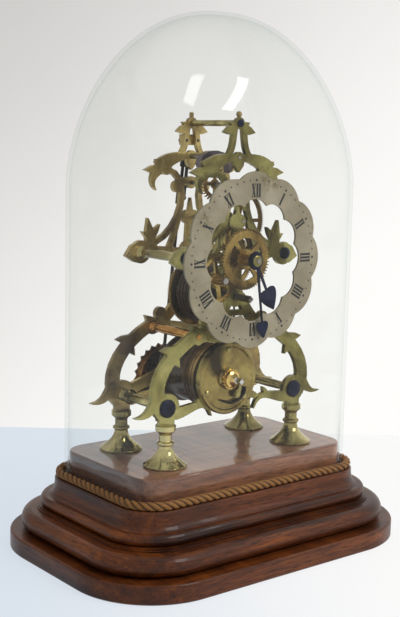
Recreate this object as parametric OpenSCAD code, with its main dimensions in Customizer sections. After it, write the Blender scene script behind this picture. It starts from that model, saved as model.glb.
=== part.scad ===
// Skeleton clock under an oblong glass dome: moulded wooden base, pierced brass plates,
// fusee and barrel, open train, scalloped dial and a pendulum behind the back plate.
// X runs to the right of the dial, -Y is the front, Z is up, and the base stands on Z = 0.

/* [Base] */
// Width of the platform that the clock stands on
platform_w = 194; // [185:1:210]
// Depth of the platform
platform_d = 109.5; // [106:0.5:125]
// Corner radius of the platform
platform_r = 17.5; // [12:0.5:24]
// Height of the platform above the ledge that holds the dome
platform_h = 19.5; // [14:0.5:26]
// How far the plinth reaches out past the platform
plinth_reach = 44; // [42:0.5:52]
// Height of the upright face of the plinth
plinth_h = 13.6; // [10:0.2:18]
// Height of the rounded torus above the plinth
torus_h = 16.4; // [13:0.2:19]
// Height of the upper ogee moulding
ogee_h = 22.5; // [19:0.5:27]
// Width of the ledge around the platform
ledge_w = 11; // [10.5:0.1:13]

/* [Dome] */
// Gap between the platform and the inside of the glass
dome_clear = 1.5; // [1:0.1:2]
// Thickness of the glass
glass_t = 2.5; // [2:0.1:3]
// Height of the upright wall of the dome
dome_wall_h = 221; // [210:1:235]
// Rise of the rounded head of the dome
dome_rise = 122; // [105:1:140]
// Diameter of the twisted cord around the foot of the dome
cord_d = 6.2; // [4.5:0.1:6.4]

/* [Frame] */
// Thickness of the two plates
plate_t = 3.6; // [3:0.1:4]
// Clear distance between the plates
plate_gap = 51.6; // [50.5:0.1:53]
// Height of a turned foot
foot_h = 29.6; // [24:0.2:36]
// Distance of the lugs from the middle
lug_x = 61; // [58:0.5:64]
// Radius of a lug
lug_r = 10.7; // [9.5:0.1:12]
// Height of a lug's middle above the foot
lug_up = 12.4; // [11:0.1:14]
// Height of the dial's middle above the lugs
centre_up = 104.5; // [103:0.5:110]
// Distance of the waist pillars from the middle
waist_x = 34; // [31:0.5:37]
// Height of the waist pillars above the lugs
waist_up = 49; // [46:0.5:52]
// Distance of the middle pillars from the middle
mid_x = 47; // [44:0.5:50]
// Height of the top pillar above the dial's middle
crown_up = 97; // [96:0.5:104]
// Radius of the pillars
pillar_r = 3.2; // [2.6:0.1:4]

/* [Dial] */
// Outer radius of the dial at the middle of a lobe
dial_r = 63.5; // [61:0.5:66]
// Radius of an outer lobe of the dial
lobe_r = 22; // [20:0.5:24]
// Radius of the dial's opening at the middle of a lobe
dial_bore_r = 44; // [42:0.5:46]
// Radius of an inner lobe of the dial
bore_lobe_r = 13; // [12:0.5:14]
// Thickness of the dial
dial_t = 1.6; // [1.2:0.1:2]
// Gap between the tip of the centre arbor and the glass
hand_room = 2.45; // [2:0.05:3]

/* [Hands] */
// Length of the minute hand
minute_len = 57; // [50:0.5:60]
// Length of the hour hand
hour_len = 41; // [34:0.5:44]
// Angle of the minute hand, clockwise from twelve
minute_angle = 172; // [0:1:359]
// Angle of the hour hand, clockwise from twelve
hour_angle = 153; // [0:1:359]
// Thickness of a hand
hand_t = 0.8; // [0.6:0.1:0.9]

/* [Train] */
// How far the fusee lies below the dial's middle
fusee_drop = 28.5; // [28:0.1:29.5]
// How far the third arbor lies above the dial's middle
third_rise = 26.5; // [26.5:0.1:27]
// How far the third arbor lies to the right of the middle
third_side = 5; // [4.5:0.1:6]
// How far the escape arbor lies above the dial's middle
escape_rise = 52.5; // [52:0.1:53]
// How far the pallet arbor lies above the escape arbor
pallet_rise = 20; // [19.5:0.1:21]
// Thickness of the train wheels
wheel_t = 1.8; // [1.4:0.1:2]
// Distance of the minute wheel's stud from the dial's middle
motion_reach = 25.2; // [25:0.1:26]
// Direction of the minute wheel's stud, anticlockwise from three o'clock
motion_angle = 215; // [212:1:222]
// Radius of the escape wheel at the tips of its teeth
escape_r = 13; // [11.5:0.1:13.4]

/* [Barrel and fusee] */
// Sideways place of the barrel, left of the middle
barrel_side = 8; // [4:0.5:10]
// Height of the barrel's arbor above the lugs
barrel_up = 16.5; // [15:0.5:18]
// Outer radius of the barrel
barrel_r = 23.6; // [22:0.1:24]
// Thickness of the barrel's wall
barrel_wall = 2.2; // [1.6:0.1:2.6]
// Radius of the round barrel bridge
bridge_r = 26.7; // [26:0.1:27.5]
// Thickness of the barrel bridge
bridge_t = 4; // [3:0.1:4.5]
// Radius of the large end of the fusee
fusee_big_r = 21.5; // [20:0.1:22]
// Radius of the small end of the fusee
fusee_small_r = 12; // [10:0.1:14]
// Number of grooves around the fusee
fusee_grooves = 12; // [9:1:13]
// Diameter of the gut line
line_d = 1.6; // [1.2:0.1:1.6]
// Distance between turns of the line on the barrel
line_pitch = 2.4; // [2.2:0.1:2.5]

/* [Pendulum] */
// Length from the bending point of the suspension to the middle of the bob
pendulum_len = 170; // [160:0.5:174]
// Radius of the bob to the tips of its rim
bob_r = 26; // [22:0.1:27]
// Thickness of the bob at its middle
bob_t = 7.6; // [6:0.1:8]
// Points around the rim of the bob
bob_points = 26; // [20:1:32]
// Distance of the pendulum behind the back plate
pendulum_back = 6.6; // [6:0.1:7.5]
// Angle of the pendulum to the left at rest, as it was caught in its swing
swing_at_rest = 6; // [0:0.5:6]

/* [Fits] */
// Radial clearance of a running fit
fit = 0.05; // [0.03:0.01:0.08]
// Least gap between pieces that move past each other
clear = 0.3; // [0.25:0.05:0.4]

/* [Hidden] */
$fn = 48;

// Heights
ledge_z = plinth_h + torus_h + ogee_h;
platform_z = ledge_z + platform_h;
lug_z = platform_z + foot_h + lug_up;
centre_z = lug_z + centre_up;
waist_z = lug_z + waist_up;
barrel_z = lug_z + barrel_up;
fusee_z = centre_z - fusee_drop;
third_z = centre_z + third_rise;
escape_z = centre_z + escape_rise;
pallet_z = escape_z + pallet_rise;
crown_z = centre_z + crown_up;
barrel_x = -barrel_side;
stud_x = motion_reach * cos(motion_angle);
stud_z = centre_z + motion_reach * sin(motion_angle);

// Depths: inner and outer faces of the plates, and the wheels between and in front of them
front_in = -plate_gap / 2;
front_out = front_in - plate_t;
back_in = plate_gap / 2;
back_out = back_in + plate_t;
third_y = front_in + 2.2;
centre_y = front_in + 6.6;
great_t = 2.4;
great_y = back_in - 9.8;
ratchet_t = 1.6;
ratchet_y = great_y - 0.6 - ratchet_t;
fusee_y0 = front_in + 12;
fusee_y1 = ratchet_y;
escape_y = -wheel_t - 1;
motion_y = front_out - 2 - wheel_t;
hour_y = front_out - 8.6 - wheel_t;
hand_gap = 0.8;
dial_hand_gap = 1.1;
collet_h = 1.4;
tip_h = 0.3;
hands_h = dial_hand_gap + hand_gap + 2 * hand_t + collet_h + tip_h;
dial_y = hand_room + hands_h - platform_d / 2 - dome_clear;
hour_hand_y = dial_y - dial_hand_gap - hand_t;
minute_hand_y = hour_hand_y - hand_gap - hand_t;
pendulum_y = back_out + pendulum_back;

// Arbors and pivots
arbor_r = 1.6;
pivot_r = 1.1;
fusee_arbor_r = 2.5;
barrel_arbor_r = 3;
cannon_r = 3;
hour_pipe_r = 4.6;
stud_r = 1.25;
screw_r = 2;
pivot_end = 0.4;

// Tooth counts and the radii that follow from the centre distances
great_teeth = 96;
centre_leaves = 8;
centre_teeth = 98;
third_leaves = 8;
third_teeth = 96;
escape_leaves = 8;
escape_teeth = 30;
cannon_teeth = 24;
minute_teeth = 48;
minute_leaves = 10;
hour_teeth = 60;
third_reach = norm([third_side, third_rise]);
escape_reach = norm([third_side, escape_rise - third_rise]);
great_m = 2 * fusee_drop / (great_teeth + centre_leaves);
centre_m = 2 * third_reach / (centre_teeth + third_leaves);
third_m = 2 * escape_reach / (third_teeth + escape_leaves);
cannon_m = 2 * motion_reach / (cannon_teeth + minute_teeth);
hour_m = 2 * motion_reach / (minute_leaves + hour_teeth);
to_third = atan2(third_rise, third_side);
to_escape = atan2(escape_rise - third_rise, -third_side);

// Colours
brass = "#b08d3c";
steel = "#8d8f92";
blued = "#1f2742";
wood = "#4a1f12";
gilt = "#a8792e";

// Shapes laid in the X-Z plane and given a depth from y0 to y1
module slab(y0, y1) {
    translate([0, y1, 0])
        rotate([90, 0, 0])
            linear_extrude(y1 - y0)
                children();
}

// Round rod along Y
module rod(x, z, y0, y1, r) {
    translate([x, y1, z])
        rotate([90, 0, 0])
            cylinder(h = y1 - y0, r = r);
}

// Square rod along Y, measured across its corners
module square_rod(x, z, y0, y1, r) {
    translate([x, y1, z])
        rotate([90, 0, 0])
            cylinder(h = y1 - y0, r = r, $fn = 4);
}

// Solid turned about an axis along Y, from [radius, y] points
module turned(x, z, profile) {
    translate([x, 0, z])
        rotate([-90, 0, 0])
            rotate_extrude()
                polygon(profile);
}

function polar(r, a) = [r * cos(a), r * sin(a)];
function arc(x, y, r, a0, a1, n = 8) = [for (i = [0:n]) [x, y] + polar(r, a0 + (a1 - a0) * i / n)];
function bezier(p, t) = pow(1 - t, 3) * p[0] + 3 * t * pow(1 - t, 2) * p[1]
    + 3 * t * t * (1 - t) * p[2] + pow(t, 3) * p[3];
function bezier_dir(p, t) = let (d = pow(1 - t, 2) * (p[1] - p[0]) + 2 * t * (1 - t) * (p[2] - p[1])
    + t * t * (p[3] - p[2])) d / norm(d);

// Curved strap that tapers from width w0 to w1 along a cubic curve
module strap(p, w0, w1, n = 9) {
    function edge(t, s) =
        let (along = bezier_dir(p, t), half = (w0 + (w1 - w0) * t) / 2)
            bezier(p, t) + s * half * [-along[1], along[0]];
    polygon(concat([for (i = [0:n]) edge(i / n, -1)], [for (i = [n:-1:0]) edge(i / n, 1)]));
}

// Straight pointed leaf from a to its tip b
module spur(a, b, w) {
    d = (b - a) / norm(b - a);
    s = [-d[1], d[0]];
    mid = a + (b - a) * 0.55;
    polygon([a - s * w / 2, mid - s * w * 0.38, b - s * 0.2, b + s * 0.2, mid + s * w * 0.38, a + s * w / 2]);
}

// Gear outline: each row of a tooth is [height from the pitch circle, share of the pitch]
function gear_outline(teeth, pitch_r, rows, phase) = [
    for (i = [0:teeth - 1])
        for (k = [0:2 * len(rows) - 1])
            let (up = k < len(rows),
                row = rows[up ? k : 2 * len(rows) - 1 - k],
                a = phase + (i + (up ? -row[1] : row[1]) / 2) * 360 / teeth)
                polar(pitch_r + row[0], a)
];
function wheel_tooth(m) = [[-1.3 * m, 0.44], [0, 0.44], [0.6 * m, 0.33], [1.1 * m, 0.12]];
function pinion_leaf(m) = [[-1.5 * m, 0.32], [0, 0.36], [0.3 * m, 0.29], [0.5 * m, 0.13]];
function even_tooth(m) = [[-1.2 * m, 0.42], [0, 0.42], [0.44 * m, 0.31], [0.8 * m, 0.12]];

module pinion(x, z, y0, y1, leaves, m, phase) {
    slab(y0, y1)
        translate([x, z])
            polygon(gear_outline(leaves, leaves * m / 2, pinion_leaf(m), phase));
}

// Wheel with crossed-out spokes, flat, centred on the origin
module crossed_wheel(outline, rim_r, hub_r, bore_r, spokes, spoke_w, turn = 0) {
    difference() {
        polygon(outline);
        difference() {
            circle(r = rim_r);
            circle(r = hub_r);
            for (i = [0:spokes - 1])
                rotate(turn + i * 360 / spokes)
                    translate([0, -spoke_w / 2])
                        square([rim_r + 1, spoke_w]);
        }
        circle(r = bore_r);
    }
}

// Block with the platform's rounded plan, grown by the [reach, z] points of a moulding profile
module moulded(profile) {
    cx = platform_w / 2 - platform_r;
    cy = platform_d / 2 - platform_r;
    zs = [for (p = profile) p[1]];
    ring = [for (p = profile) [p[0] + platform_r, p[1]]];
    closed = concat([[0, zs[0]]], ring, [[0, zs[len(zs) - 1]]]);
    for (c = [[cx, cy, 0], [-cx, cy, 90], [-cx, -cy, 180], [cx, -cy, 270]])
        translate([c[0], c[1], 0])
            rotate(c[2])
                rotate_extrude(angle = 90)
                    polygon(closed);
    for (s = [1, -1]) {
        translate([0, s * cy, 0])
            rotate([90, 0, 90])
                translate([0, 0, -cx])
                    linear_extrude(2 * cx)
                        scale_x(s)
                            polygon(closed);
        translate([s * cx, 0, 0])
            rotate([90, 0, 0])
                translate([0, 0, -cy])
                    linear_extrude(2 * cy)
                        scale_x(s)
                            polygon(closed);
    }
    translate([-cx, -cy, zs[0]])
        cube([2 * cx, 2 * cy, zs[len(zs) - 1] - zs[0]]);
}

// Mirrors a flat outline across its upright axis when s is -1
module scale_x(s) {
    mirror([s < 0 ? 1 : 0, 0])
        children();
}

torus_r = torus_h * 0.47;
torus_reach = plinth_reach - 8.4;
fillet_reach = plinth_reach - 20;
module base_plinth() {
    color(wood)
        moulded(concat(
            [[plinth_reach - 1, 0], [plinth_reach, 1], [plinth_reach, plinth_h - 1.6]],
            arc(plinth_reach - 1.6, plinth_h - 1.6, 1.6, 30, 90, 3),
            [[torus_reach - torus_r, plinth_h]],
            arc(torus_reach - torus_r, plinth_h + torus_r, torus_r, -80, 80, 10),
            [[fillet_reach, plinth_h + 2 * torus_r], [fillet_reach, plinth_h + torus_h]]
        ));
}

ogee_r = ogee_h * 0.2;
ogee_reach = ledge_w + 10.5;
module base_moulding() {
    z0 = plinth_h + torus_h;
    cove_z = z0 + 2 * ogee_r;
    cove_h = ledge_z - 2.4 - cove_z;
    cove_w = ogee_reach - ogee_r - ledge_w;
    color(wood)
        moulded(concat(
            [[fillet_reach - 1.5, z0], [fillet_reach - 1.5, z0 + 1]],
            arc(ogee_reach - ogee_r, z0 + 1 + ogee_r, ogee_r, -70, 60, 8),
            [for (i = [1:6]) [ledge_w + cove_w * (1 - sin(15 * i)), cove_z + cove_h * (1 - cos(15 * i))]],
            [[ledge_w, ledge_z - 1], [ledge_w - 1, ledge_z]]
        ));
}

module base_platform() {
    color(wood)
        moulded([[0, ledge_z], [0, platform_z - 1.2], [-0.4, platform_z - 0.4], [-1.2, platform_z]]);
}

cord_reach = dome_clear + glass_t + clear + cord_d / 2;
module dome_cord() {
    cx = platform_w / 2 - platform_r;
    cy = platform_d / 2 - platform_r;
    r = platform_r + cord_reach;
    color(gilt)
        translate([0, 0, ledge_z + cord_d / 2]) {
            for (c = [[cx, cy, 0], [-cx, cy, 90], [-cx, -cy, 180], [cx, -cy, 270]])
                translate([c[0], c[1], 0])
                    rotate(c[2])
                        rotate_extrude(angle = 90)
                            translate([r, 0])
                                circle(d = cord_d);
            for (s = [1, -1]) {
                translate([-cx, s * (cy + r), 0])
                    rotate([0, 90, 0])
                        cylinder(h = 2 * cx, d = cord_d);
                translate([s * (cx + r), cy, 0])
                    rotate([90, 0, 0])
                        cylinder(h = 2 * cy, d = cord_d);
            }
        }
}

// Plan of the dome at a level: a rounded rectangle whose corners open out towards the top
dome_corner_n = 11;
function dome_plan(half_w, half_d, r) = [
    for (q = [0:3])
        for (i = [0:dome_corner_n])
            let (sx = q == 0 || q == 3 ? 1 : -1,
                sy = q < 2 ? 1 : -1)
                [sx * (half_w - r), sy * (half_d - r)] + polar(r, 90 * q + 90 * i / dome_corner_n)
];
function dome_ring(grow, s, r_share, z) = let (
        w = platform_w / 2 + grow,
        d = platform_d / 2 + grow,
        r = platform_r + grow,
        rs = r + (d - r) * r_share)
    [for (p = dome_plan(s * w, s * d, s * rs)) [p[0], p[1], z]];
dome_steps = 12;
dome_last = 86;
// Share of the head's width or rise, a little fuller than an ellipse
function full(share) = pow(share, 0.9);
function dome_skin(grow, rise) = concat(
    dome_ring(grow, 1, 0, ledge_z),
    [for (i = [0:dome_steps])
        let (a = dome_last * i / dome_steps)
            for (p = dome_ring(grow, full(cos(a)), sin(a), ledge_z + dome_wall_h + rise * full(sin(a)))) p]
);
module glass_dome() {
    n = 4 * (dome_corner_n + 1);
    rows = dome_steps + 2;
    outer = dome_skin(dome_clear + glass_t, dome_rise);
    inner = dome_skin(dome_clear, dome_rise - glass_t);
    top = ledge_z + dome_wall_h;
    count = n * rows;
    points = concat(outer, inner, [[0, 0, top + dome_rise], [0, 0, top + dome_rise - glass_t]]);
    side = [for (k = [0:rows - 2]) for (i = [0:n - 1]) let (j = (i + 1) % n)
        each [[k * n + i, k * n + j, (k + 1) * n + j], [k * n + i, (k + 1) * n + j, (k + 1) * n + i]]];
    cap = [for (i = [0:n - 1]) [(rows - 1) * n + i, (rows - 1) * n + (i + 1) % n, 2 * count]];
    foot = [for (i = [0:n - 1]) let (j = (i + 1) % n)
        each [[i, count + j, j], [i, count + i, count + j]]];
    faces = concat(
        [for (f = side) [f[0], f[2], f[1]]],
        [for (f = side) [count + f[0], count + f[1], count + f[2]]],
        [for (f = cap) [f[0], f[2], f[1]]],
        [for (f = cap) [count + f[0], count + f[1], 2 * count + 1]],
        [for (f = foot) [f[0], f[2], f[1]]]
    );
    color([0.8, 0.9, 0.95, 0.3])
        polyhedron(points, faces);
}

// Turned foot: a trumpet-shaped flare, a ring and a collar under the plate
foot_y = plate_gap / 2 + plate_t / 2;
foot_r = 15.8;
module foot(x, y) {
    h = foot_h;
    neck_r = 5;
    flare_h = h * 0.45;
    color(brass)
        translate([x, y, platform_z])
            rotate_extrude()
                polygon(concat(
                    [[0, 0], [foot_r - 0.3, 0], [foot_r, 0.4], [foot_r, 1.4]],
                    [for (i = [0:7])
                        [neck_r + (foot_r - 0.6 - neck_r) * pow(1 - i / 7, 2), 1.8 + flare_h * i / 7]],
                    [[neck_r + 0.7, h * 0.53], [neck_r + 1.3, h * 0.55], [neck_r + 1.3, h * 0.59]],
                    [[neck_r + 0.6, h * 0.61], [neck_r - 0.3, h * 0.63], [neck_r - 0.3, h * 0.78]],
                    [[neck_r + 0.4, h * 0.82], [neck_r + 2.4, h * 0.88], [neck_r + 2.4, h], [0, h]]
                ));
}
module foot_front_left() { foot(-lug_x, -foot_y); }
module foot_front_right() { foot(lug_x, -foot_y); }
module foot_back_left() { foot(-lug_x, foot_y); }
module foot_back_right() { foot(lug_x, foot_y); }

// Places of the bosses and holes in the plates, as [x, z]
crown_r = 4.2;
crown_bar_r = 2.3;
crown_screw_r = 1.1;
dial_foot_at = [[13, escape_z - 3], [27, centre_z - 46]];
dial_foot_r = 2.4;
pillar_at = [[lug_x, lug_z], [waist_x, waist_z], [mid_x, centre_z + 1.5]];
// The suspension cock fills the upper half of the room between the pallet pivot and the crown's screw
cock_clear = 8.5;
cock_h = (crown_z - cock_clear - pallet_z) / 2;
cock_z0 = crown_z - cock_clear - cock_h;
cock_screw_x = 5.4;
cock_screw_z = cock_z0 + 0.4375 * cock_h;
cock_screw_r = 1.1;

// Points of the right half, or of the left half when s is -1
function on_side(s, points) = [for (p = points) [s * p[0], p[1]]];
module half_strap(s, points, w0, w1) {
    strap(on_side(s, points), w0, w1);
}
module half_spur(s, a, b, w) {
    spur([s * a[0], a[1]], [s * b[0], b[1]], w);
}
module half_disc(s, p, r) {
    translate([s * p[0], p[1]])
        circle(r = r);
}
// Upright rectangle between x0 and x1
module half_bar(s, x0, x1, z0, z1) {
    translate([s > 0 ? x0 : -x1, z0])
        square([x1 - x0, z1 - z0]);
}

// One half of the scroll work shared by both plates: s is 1 for the right and -1 for the left
module plate_half(s) {
    lug = [lug_x, lug_z];
    waist = [waist_x, waist_z];
    centre = [0, centre_z];
    escape = [0, escape_z];
    pallet = [0, pallet_z];
    spade = [mid_x - 1, centre_z + 1.5];
    // Lower arch with its curl and spurs
    half_disc(s, lug, lug_r);
    half_bar(s, lug_x - 6.5, lug_x + 6.5, platform_z + foot_h, lug_z);
    half_strap(s, [lug + [5, -2], lug + [15, 14], waist + [32, -13], waist + [2, 1]], 12, 9);
    half_strap(s, [lug + [9, 6], lug + [15, -2], lug + [19, -5], lug + [28, -4]], 9, 0.5);
    half_spur(s, waist + [21, -8], waist + [33, -7.5], 7);
    half_spur(s, waist + [22, -12], waist + [16.5, -20.5], 6.5);
    // Lower scroll that ends in a hook beside the barrel
    half_strap(s, [lug + [-5, -4], lug + [-17, -8], lug + [-34, 8], lug + [-40.5, -10.5]], 10, 1.2);
    half_spur(s, lug + [-28, 0], lug + [-31, 5], 4);
    // Waist: boss, strap to the fusee and the bridge over the arch
    half_disc(s, waist, 6);
    half_strap(s, [waist + [0, 0], waist + [-14, 4], [12, fusee_z - 12], [5, fusee_z]], 9, 8);
    half_strap(s, [waist + [0, 0], waist + [-12, 1], [12, waist_z - 3], [0, waist_z - 3]], 9, 8);
    half_disc(s, dial_foot_at[1], 5);
    half_strap(s, [dial_foot_at[1], dial_foot_at[1] + [-1, -3], waist + [-4, 3], waist], 8, 8);
    half_spur(s, waist + [-1, 2], waist + [7, 9], 7);
    // Hub and the straps that leave it
    half_strap(s, [centre + [4, 0], centre + [16, -2], centre + [26, 4], spade], 8, 6);
    half_disc(s, spade, 8.6);
    half_spur(s, spade + [0, 0.5], spade + [14, -2.5], 16.5);
    half_spur(s, spade + [-10, 2], spade + [-6, 25], 10);
    half_spur(s, spade + [-11, 12], spade + [-17, 20], 5);
    half_spur(s, spade + [-9, 10], spade + [-1, 15], 5);
    half_strap(s, [spade + [-12, 6], [2, centre_z + 20], escape + [2.7, 7], escape + [21, 9]], 4.4, 4.4);
    half_strap(s, [centre + [21, 1], centre + [17, 8], centre + [13, 18], centre + [10.5, 28]], 4.2, 3.6);
    // Upper scroll: a broad leaf that ends in three tips
    half_strap(s, [pallet + [6, 0], pallet + [16, -1], pallet + [23, -3], pallet + [29.5, -9.5]], 5.4, 13.5);
    half_strap(s, [escape + [20, 7], escape + [21, 9], pallet + [24, -10], pallet + [26, -8]], 6.4, 8);
    half_spur(s, pallet + [27, -7], pallet + [33.5, -2.8], 7);
    half_spur(s, pallet + [28, -10], pallet + [43.5, -10.6], 8);
    half_strap(s, [pallet + [30, -10], pallet + [37, -15], pallet + [38, -21], pallet + [33, -25.5]], 8, 0.6);
    half_disc(s, dial_foot_at[0], 4.6);
    half_strap(s, [dial_foot_at[0], dial_foot_at[0] + [-5, 5], escape + [5, 2], escape], 5.4, 5.4);
    // Crown: leg and leaves, and the boss of the third arbor
    half_strap(s, [[3.6, crown_z - 1], [6.4, crown_z - 12], pallet + [3.5, 5], pallet + [15, -4]], 4.2, 4);
    half_spur(s, [4, crown_z - 4], [14.5, crown_z - 6.5], 7.5);
    half_spur(s, [3, crown_z - 2.5], [9, crown_z + 0.6], 5.4);
    half_disc(s, [third_side / 2, third_z], third_side / 2 + 2.8);
}

// Middle of a plate: hub, fusee boss, ties, the pendant that holds the pallet arbor and a central spike
module plate_middle() {
    translate([0, fusee_z])
        circle(r = 7.5);
    translate([0, centre_z])
        circle(r = 9);
    translate([0, escape_z])
        circle(r = 4.6);
    translate([0, pallet_z])
        circle(r = 4.2);
    translate([0, crown_z])
        circle(r = crown_r);
    half_bar(1, -14, 14, fusee_z - 14, fusee_z - 9.6);
    half_bar(1, -5, 5, fusee_z, centre_z);
    half_bar(1, -9, 9, pallet_z - 2, pallet_z + 2.4);
    spur([0, pallet_z], [0, pallet_z - 10.5], 11);
    spur([0, centre_z + 4], [0, centre_z + 41], 9);
}

module plate_outline() {
    plate_middle();
    plate_half(1);
    plate_half(-1);
}

// Ring behind the barrel bridge with the straps that tie it to the scrolls
module bridge_seat() {
    lug = [lug_x, lug_z];
    translate([barrel_x, barrel_z])
        difference() {
            circle(r = bridge_r - 1.5);
            circle(r = bridge_r - 8.5);
        }
    translate([barrel_x - 5, barrel_z + bridge_r - 8])
        square([10, waist_z - barrel_z - bridge_r + 6]);
    strap([[-lug_x, lug_z] + [28, 0], [-lug_x, lug_z] + [32, 2], [barrel_x - 20, barrel_z - 14],
        [barrel_x - 17, barrel_z - 13]], 7, 7);
    strap([lug + [-38, -2], lug + [-40, 2], [barrel_x + 20, barrel_z - 15],
        [barrel_x + 17, barrel_z - 13]], 4, 7);
}

module plate_holes(y0, y1) {
    for (s = [-1, 1])
        for (p = pillar_at)
            rod(s * p[0], p[1], y0, y1, screw_r + fit);
    rod(0, crown_z, y0, y1, crown_screw_r + fit);
    rod(third_side, third_z, y0, y1, pivot_r + fit);
    rod(0, escape_z, y0, y1, pivot_r + fit);
    rod(0, pallet_z, y0, y1, pivot_r + fit);
}

bridge_screw_a = [90, 205, 315];
bridge_screw_reach = bridge_r - 5;
module front_plate() {
    y0 = front_out - 1;
    y1 = front_in + 1;
    color(brass)
        difference() {
            slab(front_out, front_in) {
                plate_outline();
                bridge_seat();
                strap([[stud_x, stud_z], [stud_x + 6, stud_z + 4], [-8, centre_z - 4], [0, centre_z]], 7, 8);
                translate([stud_x, stud_z])
                    circle(r = 4.5);
            }
            plate_holes(y0, y1);
            for (s = [-1, 1])
                for (p = dial_foot_at)
                    rod(s * p[0], p[1], y0, y1, 1.2 + fit);
            rod(0, fusee_z, y0, y1, fusee_arbor_r + fit);
            rod(0, centre_z, y0, y1, arbor_r + fit);
            rod(stud_x, stud_z, y0, y1, stud_r + fit);
            for (a = bridge_screw_a)
                rod(barrel_x + bridge_screw_reach * cos(a), barrel_z + bridge_screw_reach * sin(a),
                    y0, y1, 1.2 + fit);
        }
}

// Bar low across the back plate that carries the barrel's rear pivot
module back_bar() {
    for (s = [-1, 1])
        strap([[s * (lug_x - 4), lug_z + 2], [s * 44, lug_z + 6], [barrel_x + s * 16, barrel_z - 4],
            [barrel_x, barrel_z]], 8, 10);
    translate([barrel_x, barrel_z])
        circle(r = 8);
}

module back_plate() {
    y0 = back_in - 1;
    y1 = back_out + 1;
    color(brass)
        difference() {
            slab(back_in, back_out) {
                plate_outline();
                back_bar();
            }
            plate_holes(y0, y1);
            rod(barrel_x, barrel_z, y0, y1, barrel_arbor_r - 1 + fit);
            rod(0, fusee_z, y0, y1, fusee_arbor_r - 0.7 + fit);
            rod(0, centre_z, y0, y1, pivot_r + fit);
            for (s = [-1, 1])
                rod(s * cock_screw_x, cock_screw_z, y0, y1, cock_screw_r + fit);
        }
}

// Turned body of a pillar between the plates
module pillar_body(x, z) {
    e = plate_gap / 2;
    turned(x, z, [
        [0, -e], [pillar_r + 1.6, -e], [pillar_r + 1.6, -e + 2], [pillar_r + 0.6, -e + 2.8],
        [pillar_r + 1.1, -e + 4], [pillar_r, -e + 5.2], [pillar_r * 1.1, 0], [pillar_r, e - 5.2],
        [pillar_r + 1.1, e - 4], [pillar_r + 0.6, e - 2.8], [pillar_r + 1.6, e - 2],
        [pillar_r + 1.6, e], [0, e]
    ]);
}
// Pillar tapped at both ends for its screws
module pillar(x, z) {
    difference() {
        pillar_body(x, z);
        for (y = [front_in, back_in])
            rod(x, z, y - 8.5, y + 8.5, screw_r + fit);
    }
}
module lower_pillars() {
    ring_y = back_in - 11;
    color(brass)
        for (s = [-1, 1]) {
            pillar(s * pillar_at[0][0], pillar_at[0][1]);
            turned(s * pillar_at[0][0], pillar_at[0][1], [
                [screw_r + fit, ring_y], [pillar_r + 0.8, ring_y], [pillar_r + 2.4, ring_y + 0.8],
                [pillar_r + 2.4, ring_y + 1.8], [pillar_r + 0.8, ring_y + 2.6], [screw_r + fit, ring_y + 2.6]
            ]);
        }
}
// Pillars whose ends are riveted over in the plates
module waist_pillars() {
    head = plate_t + 0.5;
    color(brass)
        for (s = [-1, 1]) {
            pillar_body(s * pillar_at[1][0], pillar_at[1][1]);
            rod(s * pillar_at[1][0], pillar_at[1][1], front_in - head, back_in + head, screw_r);
        }
}
module middle_pillars() {
    color(brass)
        for (s = [-1, 1])
            pillar(s * pillar_at[2][0], pillar_at[2][1]);
}
module top_pillar() {
    color(brass)
        difference() {
            rod(0, crown_z, front_in, back_in, crown_bar_r);
            for (y = [front_in, back_in])
                rod(0, crown_z, y - 8.5, y + 8.5, crown_screw_r + fit);
        }
}

// Round-headed slotted screw through a plate, heads outwards on side s
module plate_screw(x, z, s, r, head_r, head_h) {
    face = plate_gap / 2 + plate_t;
    difference() {
        translate([x, 0, z])
            rotate([-90 * s, 0, 0])
                rotate_extrude()
                    polygon(concat(
                        [[0, face - plate_t - 6], [r, face - plate_t - 6], [r, face], [head_r, face]],
                        [for (i = [0:5]) [head_r * cos(15 * i), face + head_h * (0.4 + 0.6 * sin(15 * i))]],
                        [[0, face + head_h]]
                    ));
        translate([x, s * (face + head_h), z])
            rotate([0, 35, 0])
                cube([2 * head_r + 1, 1.2, 0.9], center = true);
    }
}
module lug_screws() {
    color(blued)
        for (s = [-1, 1])
            for (f = [-1, 1])
                plate_screw(s * pillar_at[0][0], pillar_at[0][1], f, screw_r, 6.6, 2.4);
}
module pillar_screws() {
    color(blued)
        for (f = [-1, 1]) {
            for (s = [-1, 1])
                plate_screw(s * pillar_at[2][0], pillar_at[2][1], f, screw_r, 4.6, 2);
            plate_screw(0, crown_z, f, crown_screw_r, 2.8, 1.6);
        }
}

// Small knob on the front plate's crown and a plain pin on the back plate's
module finials() {
    color(brass) {
        translate([0, -foot_y, crown_z + crown_r])
            rotate_extrude()
                polygon(concat([[0, 0.05], [1.6, 0.05], [1.3, 0.5]], arc(0, 2.2, 2.2, -50, 90, 9)));
        translate([0, foot_y, crown_z + crown_r])
            rotate_extrude()
                polygon([[0, 0.05], [1.7, 0.05], [1.7, 3.4], [1.3, 3.8], [0, 3.8]]);
    }
}

lobe_at = dial_r - lobe_r;
bore_lobe_at = dial_bore_r - bore_lobe_r;
hours = 12;
module dial_ring() {
    color("#b9b2a0")
        difference() {
            slab(dial_y, dial_y + dial_t)
                translate([0, centre_z])
                    difference() {
                        union() {
                            circle(r = lobe_at);
                            for (i = [0:hours - 1])
                                translate(polar(lobe_at, i * 360 / hours))
                                    circle(r = lobe_r);
                        }
                        circle(r = bore_lobe_at);
                        for (i = [0:hours - 1])
                            translate(polar(bore_lobe_at, i * 360 / hours))
                                circle(r = bore_lobe_r);
                    }
        }
}

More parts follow.
